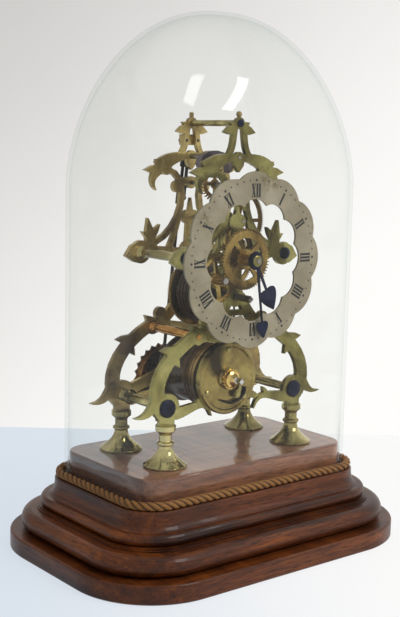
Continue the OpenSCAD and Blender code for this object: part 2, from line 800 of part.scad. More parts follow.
// Posts from the front plate to the back of the dial
module dial_feet() {
    color(brass)
        for (s = [-1, 1])
            for (p = dial_foot_at) {
                rod(s * p[0], p[1], dial_y + dial_t, front_out, dial_foot_r);
                rod(s * p[0], p[1], front_out, front_in + 0.6, 1.2);
            }
}

// Round polished plate in front of the barrel, dished behind a raised rim
bridge_y = front_out - bridge_t;
module barrel_bridge() {
    color(brass)
        difference() {
            turned(barrel_x, barrel_z, [
                [barrel_arbor_r + fit, front_out], [bridge_r, front_out], [bridge_r, bridge_y + 1],
                [bridge_r - 0.8, bridge_y], [bridge_r - 3, bridge_y], [bridge_r - 3.8, bridge_y + 0.8],
                [8, bridge_y + 1.2], [7, bridge_y], [barrel_arbor_r + fit, bridge_y]
            ]);
            for (a = bridge_screw_a)
                bridge_screw_hole(barrel_x + bridge_screw_reach * cos(a),
                    barrel_z + bridge_screw_reach * sin(a));
            rod(click_x, click_z, bridge_y - 1, front_out + 1, 1.2 + fit);
        }
}
// Hole with a counterbore that takes the head of a bridge screw
module bridge_screw_hole(x, z) {
    rod(x, z, bridge_y - 1, front_out + 1, 1.2 + fit);
    rod(x, z, bridge_y - 1, bridge_y + 1.4, 2.2 + fit);
}
module bridge_screws() {
    color(blued)
        for (a = bridge_screw_a)
            turned(barrel_x + bridge_screw_reach * cos(a), barrel_z + bridge_screw_reach * sin(a), [
                [0, front_in], [1.2, front_in], [1.2, bridge_y + 1.4], [2.2, bridge_y + 1.4],
                [2.2, bridge_y - 0.2], [1.4, bridge_y - 0.7], [0, bridge_y - 0.7]
            ]);
}

// Barrel arbor: core for the spring, pivots in bridge and back plate, collar and square
setup_y = bridge_y - 0.5;
setup_t = 2.2;
setup_r = 8;
setup_teeth = 16;
arbor_tip_y = dial_y + 0.6;
barrel_y0 = front_in + 1.8;
barrel_y1 = back_in - 6.3;
core_r = 6.4;
module barrel_arbor() {
    color(steel) {
        turned(barrel_x, barrel_z, [
            [0, back_out + pivot_end], [barrel_arbor_r - 1, back_out + pivot_end],
            [barrel_arbor_r - 1, back_in - clear], [barrel_arbor_r, back_in - clear],
            [barrel_arbor_r, barrel_y1 - 3.5], [core_r, barrel_y1 - 3.5], [core_r, barrel_y0 + 3.5],
            [barrel_arbor_r, barrel_y0 + 3.5], [barrel_arbor_r, setup_y - setup_t - 0.1],
            [6.6, setup_y - setup_t - 0.1], [6.2, setup_y - setup_t - 2], [4.4, setup_y - setup_t - 3],
            [2.4, setup_y - setup_t - 6.5], [0, setup_y - setup_t - 6.5]
        ]);
        square_rod(barrel_x, barrel_z, arbor_tip_y, setup_y - setup_t - 6, 2.4);
    }
}

// Set-up ratchet on the arbor, with its click and spring on the bridge
function ratchet_outline(teeth, r, depth, phase) = [
    for (i = [0:teeth - 1])
        let (a = phase + i * 360 / teeth)
            each [polar(r - depth, a), polar(r, a), polar(r - depth * 0.35, a + 0.6 * 360 / teeth)]
];
click_reach = 13.5;
click_a = -62;
click_x = barrel_x + click_reach * cos(click_a);
click_z = barrel_z + click_reach * sin(click_a);
module setup_ratchet() {
    color(steel)
        slab(setup_y - setup_t, setup_y)
            translate([barrel_x, barrel_z])
                difference() {
                    polygon(ratchet_outline(setup_teeth, setup_r, 1.5, 0));
                    circle(r = barrel_arbor_r + fit);
                }
}
module setup_click() {
    tip = polar(setup_r - 1, -24);
    pivot = polar(click_reach, click_a);
    color(brass) {
        slab(setup_y - setup_t, setup_y)
            translate([barrel_x, barrel_z]) {
                translate(pivot)
                    circle(r = 3);
                strap([pivot, pivot + [2, 3], tip + [4, -2.5], tip + [1.2, -0.9]], 4.6, 1.4);
            }
        rod(click_x, click_z, setup_y, front_out - 0.2, 1.2);
        rod(click_x, click_z, setup_y - setup_t - 1, setup_y - setup_t, 2.2);
    }
}
module click_spring() {
    p = polar(click_reach, click_a);
    color(blued)
        slab(setup_y - setup_t, bridge_y + 0.8)
            translate([barrel_x, barrel_z])
                strap([p + [-12, -4], p + [-4, -9], p + [9, -4], p + [8, 4.5]], 1.6, 0.8);
}

// Barrel drum with flanges that keep the line, its cap and the spring inside
flange_r = barrel_r + line_d + 0.8;
module barrel_drum() {
    inner = barrel_r - barrel_wall;
    color(brass)
        turned(barrel_x, barrel_z, [
            [barrel_arbor_r + fit, barrel_y0], [flange_r, barrel_y0], [flange_r, barrel_y0 + 2],
            [barrel_r, barrel_y0 + 2], [barrel_r, barrel_y1 - 2], [flange_r, barrel_y1 - 2],
            [flange_r, barrel_y1], [inner + 0.8, barrel_y1], [inner + 0.8, barrel_y1 - 2],
            [inner, barrel_y1 - 2], [inner, barrel_y0 + 2.4], [6, barrel_y0 + 2.4],
            [6, barrel_y0 + 3.2], [barrel_arbor_r + fit, barrel_y0 + 3.2]
        ]);
}
module barrel_cap() {
    color(brass)
        turned(barrel_x, barrel_z, [
            [barrel_arbor_r + fit, barrel_y1], [barrel_r - barrel_wall + 0.8 - fit, barrel_y1],
            [barrel_r - barrel_wall + 0.8 - fit, barrel_y1 - 2 + fit], [6, barrel_y1 - 2 + fit],
            [6, barrel_y1 - 3.2], [barrel_arbor_r + fit, barrel_y1 - 3.2]
        ]);
}
spring_turns = 8;
spring_t = 0.7;
spring_steps = 20;
module mainspring() {
    r1 = barrel_r - barrel_wall - spring_t / 2 - 0.2;
    r0 = core_r + 1.2;
    n = spring_turns * spring_steps;
    function at(i, s) = polar(r0 + (r1 - r0) * i / n + s * spring_t / 2, i * 360 / spring_steps);
    color(steel)
        slab(barrel_y0 + 4, barrel_y1 - 4)
            translate([barrel_x, barrel_z])
                polygon(concat([for (i = [0:n]) at(i, 1)], [for (i = [n:-1:0]) at(i, -1)]));
}

// Fusee: a grooved cone that swells from its small end to its large end
fusee_len = fusee_y1 - 1.5 - fusee_y0;
fusee_pitch = fusee_len / fusee_grooves;
function fusee_radius(t) = fusee_small_r + (fusee_big_r - fusee_small_r) * pow(t, 1.5);

// Gut line of a wound clock: one turn left on the barrel, a straight run up, and turns on the fusee
line_steps = 24;
line_sides = 6;
line_stand = clear + line_d / 2;
barrel_turns = 1.25;
line_wrap_r = (barrel_r + line_stand) / cos(180 / line_steps);
function line_fusee_r(y) =
    (fusee_radius(min(1, (y - fusee_y0) / fusee_len + 1 / fusee_grooves)) + line_stand)
        / cos(180 / line_steps);
line_y = fusee_y0 + 1.5 * fusee_pitch;
line_turns = fusee_grooves - 2;
run_dir = [-barrel_x, fusee_z - barrel_z];
run_len = norm(run_dir);
run_a = atan2(run_dir[1], run_dir[0]);
run_tilt = acos((line_wrap_r - line_fusee_r(line_y)) / run_len);
leave_a = run_a - run_tilt;
barrel_steps = barrel_turns * line_steps;
fusee_steps = line_turns * line_steps;
barrel_route = [for (i = [barrel_steps:-1:0])
    let (p = polar(line_wrap_r, leave_a - i * 360 / line_steps))
        [barrel_x + p[0], line_y - line_pitch * i / line_steps, barrel_z + p[1]]];
fusee_route = [for (i = [0:fusee_steps])
    let (y = line_y + fusee_pitch * i / line_steps,
        p = polar(line_fusee_r(y), leave_a + i * 360 / line_steps))
        [p[0], y, fusee_z + p[1]]];
run_route = [for (i = [1:4])
    barrel_route[barrel_steps] + (fusee_route[0] - barrel_route[barrel_steps]) * i / 5];
line_route = concat(barrel_route, run_route, fusee_route);
function line_turn_gap() = min([for (i = [0:fusee_steps - line_steps])
    for (k = [-2:2])
        let (j = i + line_steps + k)
            if (j <= fusee_steps) norm(fusee_route[i] - fusee_route[j])]) - line_d;
echo(least_gap_between_turns = line_turn_gap());
module gut_line() {
    n = len(line_route);
    function tangent(i) = let (d = line_route[min(i + 1, n - 1)] - line_route[max(i - 1, 0)]) d / norm(d);
    rings = [for (i = [0:n - 1])
        let (t = tangent(i),
            u = cross(t, [0, 1, 0]) / norm(cross(t, [0, 1, 0])),
            v = cross(t, u))
            for (k = [0:line_sides - 1])
                line_route[i] + line_d / 2 * (u * cos(360 * k / line_sides) + v * sin(360 * k / line_sides))];
    sides = [for (i = [0:n - 2]) for (k = [0:line_sides - 1])
        let (j = (k + 1) % line_sides, a = i * line_sides, b = a + line_sides)
            each [[a + k, b + j, a + j], [a + k, b + k, b + j]]];
    last = (n - 1) * line_sides;
    ends = [for (k = [1:line_sides - 2]) each [[0, k, k + 1], [last, last + k + 1, last + k]]];
    color("#7a5a34")
        polyhedron(rings, concat(sides, ends));
}

module fusee_cone() {
    step = fusee_pitch;
    color("#6b5a2c")
        turned(0, fusee_z, concat(
            [[fusee_arbor_r + fit, fusee_y0]],
            [for (i = [0:fusee_grooves - 1])
                let (r = fusee_radius((i + 0.5) / fusee_grooves), y = fusee_y0 + i * step)
                    each [[r, y], [r, y + step * 0.2], [r - 0.6, y + step * 0.45],
                        [r - 0.6, y + step * 0.75], [r, y + step]]],
            [[fusee_big_r, fusee_y1 - 1.5], [fusee_big_r, fusee_y1], [fusee_arbor_r + fit, fusee_y1]]
        ));
}
square_tip_y = dial_y + 2.5;
module fusee_arbor() {
    color(steel) {
        rod(0, fusee_z, front_out - 2, back_in - clear, fusee_arbor_r);
        rod(0, fusee_z, back_in - clear, back_out + pivot_end, fusee_arbor_r - 0.7);
        square_rod(0, fusee_z, square_tip_y, front_out - 2, fusee_arbor_r);
    }
}
fusee_ratchet_r = 12;
module fusee_ratchet() {
    color(steel)
        slab(ratchet_y, ratchet_y + ratchet_t)
            translate([0, fusee_z])
                difference() {
                    polygon(ratchet_outline(24, fusee_ratchet_r, 1.3, 0));
                    circle(r = fusee_arbor_r + fit);
                }
}

great_pitch_r = great_teeth * great_m / 2;
module great_wheel() {
    color(brass)
        slab(great_y, great_y + great_t)
            translate([0, fusee_z])
                difference() {
                    polygon(gear_outline(great_teeth, great_pitch_r, wheel_tooth(great_m), 90));
                    circle(r = fusee_arbor_r + fit);
                }
}
// Click on the great wheel, just outside the fusee's ratchet
module great_click() {
    color(steel) {
        slab(ratchet_y + 0.3, great_y)
            translate([0, fusee_z])
                strap([[15, 2], [15.6, -2], [15, -6], [12.9, -8]], 2.6, 1);
        rod(15, fusee_z + 2, great_y - 0.4, great_y, 1.6);
    }
}

// Centre arbor: pinion driven by the great wheel, and the long front end that carries the hands
pinion_side = 0.8;
collet_y = minute_hand_y - collet_h;
module centre_arbor() {
    p0 = great_y - pinion_side;
    p1 = great_y + great_t + pinion_side;
    color(steel) {
        rod(0, centre_z, collet_y - tip_h, p0, arbor_r);
        pinion(0, centre_z, p0, p1, centre_leaves, great_m, 270 + 180 / centre_leaves);
        rod(0, centre_z, p1, back_in - clear, arbor_r);
        rod(0, centre_z, back_in - clear, back_out + pivot_end, pivot_r);
    }
}
centre_pitch_r = centre_teeth * centre_m / 2;
module centre_wheel() {
    color(brass)
        slab(centre_y, centre_y + wheel_t)
            translate([0, centre_z])
                crossed_wheel(gear_outline(centre_teeth, centre_pitch_r, wheel_tooth(centre_m), to_third),
                    centre_pitch_r - 3.6, 5.5, arbor_r + fit, 5, 2.8, 18);
}

// Cannon pinion and the pipe that carries the minute hand
module cannon_pinion() {
    color(brass) {
        slab(motion_y, motion_y + wheel_t)
            translate([0, centre_z])
                difference() {
                    polygon(gear_outline(cannon_teeth, cannon_teeth * cannon_m / 2, even_tooth(cannon_m),
                        motion_angle));
                    circle(r = arbor_r + fit);
                }
        difference() {
            rod(0, centre_z, minute_hand_y, motion_y, cannon_r);
            rod(0, centre_z, minute_hand_y - 1, motion_y + 1, arbor_r + fit);
        }
    }
}
// Hand outline that points up from its boss: thin stem, small collar and a spade with a sharp tip
module hand_outline(len, boss_r, bore_r, stem_w, spade_w, spade_len) {
    base = len - spade_len;
    difference() {
        union() {
            circle(r = boss_r);
            polygon([[-stem_w * 0.7, 0], [stem_w * 0.7, 0], [stem_w * 0.45, base + 1],
                [-stem_w * 0.45, base + 1]]);
            polygon(concat(
                [for (i = [0:10]) bezier([[0, base], [spade_w * 0.75, base - spade_len * 0.12],
                    [spade_w * 0.62, base + spade_len * 0.42], [0.15, len]], i / 10)],
                [for (i = [10:-1:0]) bezier([[0, base], [-spade_w * 0.75, base - spade_len * 0.12],
                    [-spade_w * 0.62, base + spade_len * 0.42], [-0.15, len]], i / 10)]
            ));
        }
        circle(r = bore_r);
    }
}
module minute_hand() {
    color(blued)
        slab(minute_hand_y, minute_hand_y + hand_t)
            translate([0, centre_z])
                rotate(-minute_angle)
                    hand_outline(minute_len, 5.4, cannon_r + fit, 1.6, 10.5, 12);
}
module hand_collet() {
    color(brass)
        difference() {
            turned(0, centre_z, concat(
                [[0, minute_hand_y - 0.05], [4.2, minute_hand_y - 0.05]],
                [for (i = [0:5]) [4.2 * cos(16 * i), minute_hand_y - 0.2 - 1.2 * sin(16 * i)]],
                [[0, minute_hand_y - 1.4]]
            ));
            rod(0, centre_z, minute_hand_y - 3, minute_hand_y + 1, arbor_r + fit);
        }
}

// Minute wheel with its pinion, turning on a stud in the front plate
module minute_wheel_stud() {
    color(steel) {
        rod(stud_x, stud_z, hour_y - 1.6, front_in, stud_r);
        rod(stud_x, stud_z, hour_y - 2.6, hour_y - 1.6, stud_r + 1);
        rod(stud_x, stud_z, motion_y + wheel_t + clear, front_out, stud_r + 1.2);
    }
}
module minute_wheel() {
    back = motion_angle + 180;
    color(brass)
        difference() {
            union() {
                slab(motion_y, motion_y + wheel_t)
                    translate([stud_x, stud_z])
                        crossed_wheel(
                            gear_outline(minute_teeth, minute_teeth * cannon_m / 2, even_tooth(cannon_m),
                                back + 180 / minute_teeth),
                            minute_teeth * cannon_m / 2 - 3, 5, stud_r + fit, 4, 2.6, 10);
                pinion(stud_x, stud_z, hour_y - 0.8, motion_y, minute_leaves, hour_m,
                    back + 180 / minute_leaves);
            }
            rod(stud_x, stud_z, hour_y - 2, motion_y + wheel_t + 1, stud_r + fit);
        }
}
hour_pitch_r = hour_teeth * hour_m / 2;
module hour_wheel() {
    color(brass)
        slab(hour_y, hour_y + wheel_t)
            translate([0, centre_z])
                crossed_wheel(gear_outline(hour_teeth, hour_pitch_r, wheel_tooth(hour_m), motion_angle),
                    hour_pitch_r - 6.2, 7.4, cannon_r + fit, 4, 3.4, 40);
}
module hour_pipe() {
    color(brass)
        difference() {
            rod(0, centre_z, hour_hand_y, hour_y, hour_pipe_r);
            rod(0, centre_z, hour_hand_y - 1, hour_y + 1, cannon_r + fit);
        }
}
module hour_hand() {
    color(blued)
        slab(hour_hand_y, hour_hand_y + hand_t)
            translate([0, centre_z])
                rotate(-hour_angle)
                    hand_outline(hour_len, 6.6, hour_pipe_r + fit, 2, 15.5, 17);
}

// Third arbor and wheel
module third_arbor() {
    p0 = centre_y - pinion_side;
    p1 = centre_y + wheel_t + pinion_side;
    color(steel) {
        rod(third_side, third_z, front_out - pivot_end, front_in + clear, pivot_r);
        rod(third_side, third_z, front_in + clear, p0, arbor_r);
        pinion(third_side, third_z, p0, p1, third_leaves, centre_m, to_third + 180 + 180 / third_leaves);
        rod(third_side, third_z, p1, back_in - clear, arbor_r);
        rod(third_side, third_z, back_in - clear, back_out + pivot_end, pivot_r);
    }
}
third_pitch_r = third_teeth * third_m / 2;
module third_wheel() {
    color(brass)
        slab(third_y, third_y + wheel_t)
            translate([third_side, third_z])
                crossed_wheel(gear_outline(third_teeth, third_pitch_r, wheel_tooth(third_m), to_escape),
                    third_pitch_r - 3.4, 5, arbor_r + fit, 5, 2.6, 0);
}

// Escape arbor and wheel
module escape_arbor() {
    p0 = third_y - pinion_side;
    p1 = third_y + wheel_t + pinion_side;
    color(steel) {
        rod(0, escape_z, front_out - pivot_end, front_in + clear, pivot_r);
        rod(0, escape_z, front_in + clear, p0, arbor_r);
        pinion(0, escape_z, p0, p1, escape_leaves, third_m, to_escape + 180 + 180 / escape_leaves);
        rod(0, escape_z, p1, back_in - clear, arbor_r);
        rod(0, escape_z, back_in - clear, back_out + pivot_end, pivot_r);
    }
}
module escape_wheel() {
    step = 360 / escape_teeth;
    outline = [for (i = [0:escape_teeth - 1])
        each [polar(escape_r - 3, i * step), polar(escape_r, i * step - 2), polar(escape_r, i * step - 1.2),
            polar(escape_r - 2.6, i * step + step * 0.42)]];
    color(brass)
        slab(escape_y, escape_y + wheel_t)
            translate([0, escape_z])
                crossed_wheel(outline, escape_r - 5, 3.6, arbor_r + fit, 4, 2, 0);
}

// Everything that swings is drawn about the suspension's bending line
module swung() {
    translate([0, 0, pallet_z])
        rotate([0, swing_at_rest, 0])
            translate([0, 0, -pallet_z])
                children();
}

module pallet_arbor() {
    color(steel)
        swung() {
            rod(0, pallet_z, front_out - pivot_end, front_in + clear, pivot_r);
            rod(0, pallet_z, front_in + clear, back_in - clear, arbor_r + 0.6);
            rod(0, pallet_z, back_in - clear, back_out + 3, pivot_r);
        }
}
// Broad arched anchor whose noses stand clear of the escape wheel over the whole swing
pallet_stand = 2.2;
pallet_side = 2;
nose_a = 38;
module pallets() {
    nose = polar(escape_r + pallet_stand, nose_a) + [0, escape_z];
    color(steel)
        swung()
            slab(escape_y - pallet_side, escape_y + wheel_t + pallet_side)
                difference() {
                    union() {
                        translate([0, pallet_z])
                            circle(r = 4.6);
                        for (s = [-1, 1]) {
                            strap([[0, pallet_z + 0.6], [s * 6, pallet_z + 1.6], [s * 13, pallet_z],
                                [s * (nose[0] + 1.8), nose[1] + 3]], 7, 4.4);
                            spur([s * (nose[0] + 1.8), nose[1] + 4.5], [s * (nose[0] + 0.6), nose[1]], 4.4);
                        }
                    }
                    translate([0, pallet_z])
                        circle(r = arbor_r + 0.6 + fit);
                }
}
crutch_len = 32;
crutch_y = back_out + 0.8;
crutch_t = 1.4;
crutch_pin_r = 0.8;
module crutch() {
    color(steel)
        swung() {
            slab(crutch_y, crutch_y + crutch_t)
                difference() {
                    union() {
                        translate([0, pallet_z])
                            circle(r = 3);
                        translate([-1.1, pallet_z - crutch_len])
                            square([2.2, crutch_len]);
                        translate([0, pallet_z - crutch_len])
                            circle(r = 1.8);
                    }
                    translate([0, pallet_z])
                        circle(r = pivot_r + fit);
                }
            rod(0, pallet_z - crutch_len, crutch_y + crutch_t, pendulum_y + 2.6, crutch_pin_r);
        }
}

// Cock on the back plate that holds the suspension above the pallet arbor
spring_block_w = 3.4;
module suspension_cock() {
    y1 = pendulum_y + 3;
    color(brass)
        difference() {
            union() {
                translate([-7.5, back_out, cock_z0])
                    cube([15, 3, cock_h]);
                translate([-2.6, back_out, cock_z0])
                    cube([5.2, y1 - back_out, cock_h]);
            }
            translate([-0.5 - fit, pendulum_y - spring_block_w / 2, cock_z0 - 1])
                cube([1 + 2 * fit, spring_block_w, cock_h + 2]);
            for (s = [-1, 1])
                rod(s * cock_screw_x, cock_screw_z, back_out - 1, back_out + 4, cock_screw_r + fit);
        }
}
module cock_screws() {
    color(blued)
        for (s = [-1, 1]) {
            rod(s * cock_screw_x, cock_screw_z, back_in + 0.5, back_out + 3, cock_screw_r);
            rod(s * cock_screw_x, cock_screw_z, back_out + 3, back_out + 4.2, 2);
        }
}
// Thin strip from the cock to the head of the rod
module suspension_spring() {
    color(steel) {
        translate([-0.5, pendulum_y - spring_block_w / 2 + fit, cock_z0 + 1])
            cube([1, spring_block_w - 2 * fit, cock_h - 1]);
        translate([-0.1, pendulum_y - 1.2, pallet_z + 0.2])
            cube([0.2, 2.4, cock_z0 + 1.2 - pallet_z]);
    }
}

rod_r = 1.3;
rod_top = pallet_z - 0.5;
bob_z = pallet_z - pendulum_len;
nut_z = bob_z - bob_r - 6;
module pendulum_rod() {
    color(steel)
        swung()
            difference() {
                union() {
                    translate([-1.8, pendulum_y - 1.4, rod_top - 8])
                        cube([3.6, 2.8, 8]);
                    translate([0, pendulum_y, nut_z - 4])
                        cylinder(h = rod_top - 2 - nut_z, r = rod_r);
                    translate([-2.6, pendulum_y - 1.5, pallet_z - crutch_len - 5])
                        cube([5.2, 3, 10]);
                }
                rod(0, pallet_z - crutch_len, pendulum_y - 3, pendulum_y + 3, crutch_pin_r + clear);
            }
}
// Turned bob with a boss and a raised ring on each face, and a toothed rim
bob_steps = [[0.26, 0.5], [0.3, 0.4], [0.66, 0.3], [0.7, 0.42], [0.82, 0.36], [0.86, 0.2], [0.92, 0.1]];
function bob_face(s) = [for (p = bob_steps) [bob_r * p[0], pendulum_y + s * bob_t * p[1]]];
function reversed(list) = [for (i = [len(list) - 1:-1:0]) list[i]];
module pendulum_bob() {
    step = 360 / bob_points;
    color("#4b3a22")
        swung()
            difference() {
                union() {
                    turned(0, bob_z, concat(
                        [[0, pendulum_y - bob_t / 2]], bob_face(-1),
                        reversed(bob_face(1)), [[0, pendulum_y + bob_t / 2]]
                    ));
                    slab(pendulum_y - bob_t * 0.1, pendulum_y + bob_t * 0.1)
                        translate([0, bob_z])
                            polygon([for (i = [0:bob_points - 1])
                                each [polar(bob_r * 0.9, i * step), polar(bob_r, (i + 0.5) * step)]]);
                }
                translate([0, pendulum_y, bob_z - bob_r - 2])
                    cylinder(h = 2 * bob_r + 4, r = rod_r + fit);
            }
}
module rating_nut() {
    color(brass)
        swung()
            difference() {
                translate([0, pendulum_y, nut_z])
                    rotate_extrude()
                        polygon([[0, 0], [3, 0], [4.2, 1], [4.2, 3], [3, 4], [2.2, 4], [2.2, 6], [0, 6]]);
                translate([0, pendulum_y, nut_z - 1])
                    cylinder(h = 8, r = rod_r + fit);
            }
}

base_plinth();
base_moulding();
base_platform();
dome_cord();
glass_dome();
foot_front_left();
foot_front_right();
foot_back_left();
foot_back_right();
front_plate();
back_plate();
lower_pillars();
waist_pillars();
middle_pillars();
top_pillar();
lug_screws();
pillar_screws();
finials();
dial_ring();
dial_feet();
barrel_bridge();
bridge_screws();
barrel_arbor();
setup_ratchet();
setup_click();
click_spring();
barrel_drum();
barrel_cap();
mainspring();
gut_line();
fusee_cone();
fusee_arbor();
fusee_ratchet();
great_wheel();
great_click();
centre_arbor();
centre_wheel();
cannon_pinion();
minute_hand();
hand_collet();
minute_wheel_stud();
minute_wheel();
hour_wheel();
hour_pipe();
hour_hand();
third_arbor();
third_wheel();
escape_arbor();
escape_wheel();
pallet_arbor();
pallets();
crutch();
suspension_cock();
cock_screws();
suspension_spring();
pendulum_rod();
pendulum_bob();
rating_nut();
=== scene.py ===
"""Looks of the skeleton clock: polished mahogany, aged brass, blued steel, silvered dial and a glass dome."""

import math

import bmesh
import bpy
from mathutils import Matrix, Vector


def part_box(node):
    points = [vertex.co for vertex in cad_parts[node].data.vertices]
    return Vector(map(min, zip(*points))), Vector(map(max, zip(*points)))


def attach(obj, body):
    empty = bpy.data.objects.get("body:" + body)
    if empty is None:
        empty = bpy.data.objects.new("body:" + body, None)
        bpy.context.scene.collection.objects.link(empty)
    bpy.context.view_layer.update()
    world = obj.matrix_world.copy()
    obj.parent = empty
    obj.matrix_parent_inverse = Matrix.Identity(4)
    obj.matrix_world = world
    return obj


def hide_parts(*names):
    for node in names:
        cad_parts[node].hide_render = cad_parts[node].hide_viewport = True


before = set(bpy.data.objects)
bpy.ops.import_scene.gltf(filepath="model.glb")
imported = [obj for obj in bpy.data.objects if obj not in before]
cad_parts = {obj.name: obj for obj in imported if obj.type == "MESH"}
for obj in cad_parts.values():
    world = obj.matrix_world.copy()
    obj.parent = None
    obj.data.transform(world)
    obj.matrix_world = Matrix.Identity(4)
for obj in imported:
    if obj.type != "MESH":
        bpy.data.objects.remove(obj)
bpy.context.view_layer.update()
MM = 0.001
UP = Vector((0, 0, 1))
# Signs of X and Y in the quarters of a rounded rectangle, in turn
QUARTERS = ((1, 1), (-1, 1), (-1, -1), (1, -1))


def put_in_scene(name, data):
    item = bpy.data.objects.new(name, data)
    bpy.context.collection.objects.link(item)
    return item


def towards(azimuth, elevation):
    """Unit direction from two angles in degrees; azimuth runs from the dial's front towards its right."""
    a, e = math.radians(azimuth), math.radians(elevation)
    return Vector((math.sin(a) * math.cos(e), -math.cos(a) * math.cos(e), math.sin(e)))


# Camera at the photograph's angle

PHOTO_HEIGHT_PX = 617


def aim_camera(azimuth, elevation, roll, distance, focal_px, target):
    """Makes the scene's camera and returns the direction from the target to it."""
    back = towards(azimuth, elevation)
    r = math.radians(roll)
    right = (-back).cross(UP).normalized()
    up = right.cross(-back)
    right, up = right * math.cos(r) + up * math.sin(r), up * math.cos(r) - right * math.sin(r)
    place = Vector(target) + back * distance
    data = bpy.data.cameras.new("photo_camera")
    data.lens = focal_px * data.sensor_width / PHOTO_HEIGHT_PX
    data.clip_start = 10 * MM
    camera = put_in_scene("photo_camera", data)
    camera.matrix_world = Matrix((
        (right.x, up.x, back.x, place.x),
        (right.y, up.y, back.y, place.y),
        (right.z, up.z, back.z, place.z),
        (0, 0, 0, 1),
    ))
    bpy.context.scene.camera = camera
    return back


to_camera = aim_camera(
    azimuth=-38.81, elevation=8.40, roll=1.28, distance=0.8579, focal_px=1146.3,
    target=(-0.00984, 0, 0.17825),
)


# Material helpers

def rgb(red, green, blue):
    """Colour written in 0-255 display values, as linear RGBA."""
    def linear(v):
        v /= 255
        return v / 12.92 if v <= 0.04045 else ((v + 0.055) / 1.055) ** 2.4
    return (linear(red), linear(green), linear(blue), 1)


class Nodes:
    """A node tree under construction: add() makes a node and sets or links its sockets by name."""

    def __init__(self, tree):
        self.tree = tree

    def set(self, node, sockets):
        for key, value in sockets.items():
            socket = node.inputs[key]
            if isinstance(value, bpy.types.NodeSocket):
                self.tree.links.new(value, socket)
            else:
                socket.default_value = value

    def add(self, kind, sockets=None, **props):
        node = self.tree.nodes.new("ShaderNode" + kind)
        for key, value in props.items():
            setattr(node, key, value)
        self.set(node, sockets or {})
        return node

    def math(self, operation, a, b=0.0):
        return self.add("Math", {0: a, 1: b}, operation=operation).outputs["Value"]

    def dot(self, vector, axis):
        return self.add("VectorMath", {0: vector, 1: axis}, operation="DOT_PRODUCT").outputs["Value"]

    def spread(self, factor, low, high, out_low=0.0, out_high=1.0, shape="LINEAR"):
        return self.add("MapRange", {
            "Value": factor, "From Min": low, "From Max": high, "To Min": out_low, "To Max": out_high,
        }, interpolation_type=shape).outputs["Result"]

    def looked_at(self):
        """1 for rays of the camera, of mirrors and of glass, and 0 for light that falls on things."""
        rays = self.add("LightPath").outputs
        mirrored = self.math("MAXIMUM", rays["Is Glossy Ray"], rays["Is Transmission Ray"])
        return self.math("MAXIMUM", rays["Is Camera Ray"], mirrored)

    def blend(self, factor, a, b):
        return self.add("MixShader", {0: factor, 1: a, 2: b}).outputs["Shader"]


class Look(Nodes):
    """A material under construction, around its Principled shader."""

    def __init__(self, name):
        self.material = bpy.data.materials.new(name)
        self.material.use_nodes = True
        super().__init__(self.material.node_tree)
        self.shader = self.tree.nodes["Principled BSDF"]
        self.place = self.add("TexCoord").outputs["Object"]

    def surface(self, **sockets):
        self.set(self.shader, {key.replace("_", " "): value for key, value in sockets.items()})

    def show(self, shader):
        self.tree.links.new(shader, self.tree.nodes["Material Output"].inputs["Surface"])

    def along(self, axis):
        """Place along one of the axes X, Y and Z."""
        return self.add("SeparateXYZ", {"Vector": self.place}).outputs[axis]

    def mapped(self, vector, **sockets):
        return self.add("Mapping", {"Vector": vector, **sockets}).outputs["Vector"]

    def uv(self, layer):
        return self.add("UVMap", uv_map=layer).outputs["UV"]

    def noise(self, scale, detail=4, rough=0.55, vector=None, distort=0):
        return self.add("TexNoise", {
            "Vector": vector or self.place, "Scale": scale, "Detail": detail,
            "Roughness": rough, "Distortion": distort,
        }).outputs["Fac"]

    def ramp(self, factor, stops):
        node = self.add("ValToRGB", {"Fac": factor})
        while len(node.color_ramp.elements) < len(stops):
            node.color_ramp.elements.new(0.5)
        for element, (position, colour) in zip(node.color_ramp.elements, stops):
            element.position = position
            element.color = colour
        return node.outputs["Color"]

    def mix(self, factor, a, b):
        return self.add("MixRGB", {"Fac": factor, "Color1": a, "Color2": b}).outputs["Color"]

    def bump(self, height, strength, distance, normal=None):
        sockets = {"Height": height, "Strength": strength, "Distance": distance}
        if normal:
            sockets["Normal"] = normal
        return self.add("Bump", sockets).outputs["Normal"]

    def soft_edges(self, radius):
        return self.add("Bevel", {"Radius": radius}, samples=4).outputs["Normal"]


# Wood

GRAIN_STRETCH = (0.6, 9, 9)
GRAIN_STOPS = (0.38, 0.46, 0.54, 0.64)


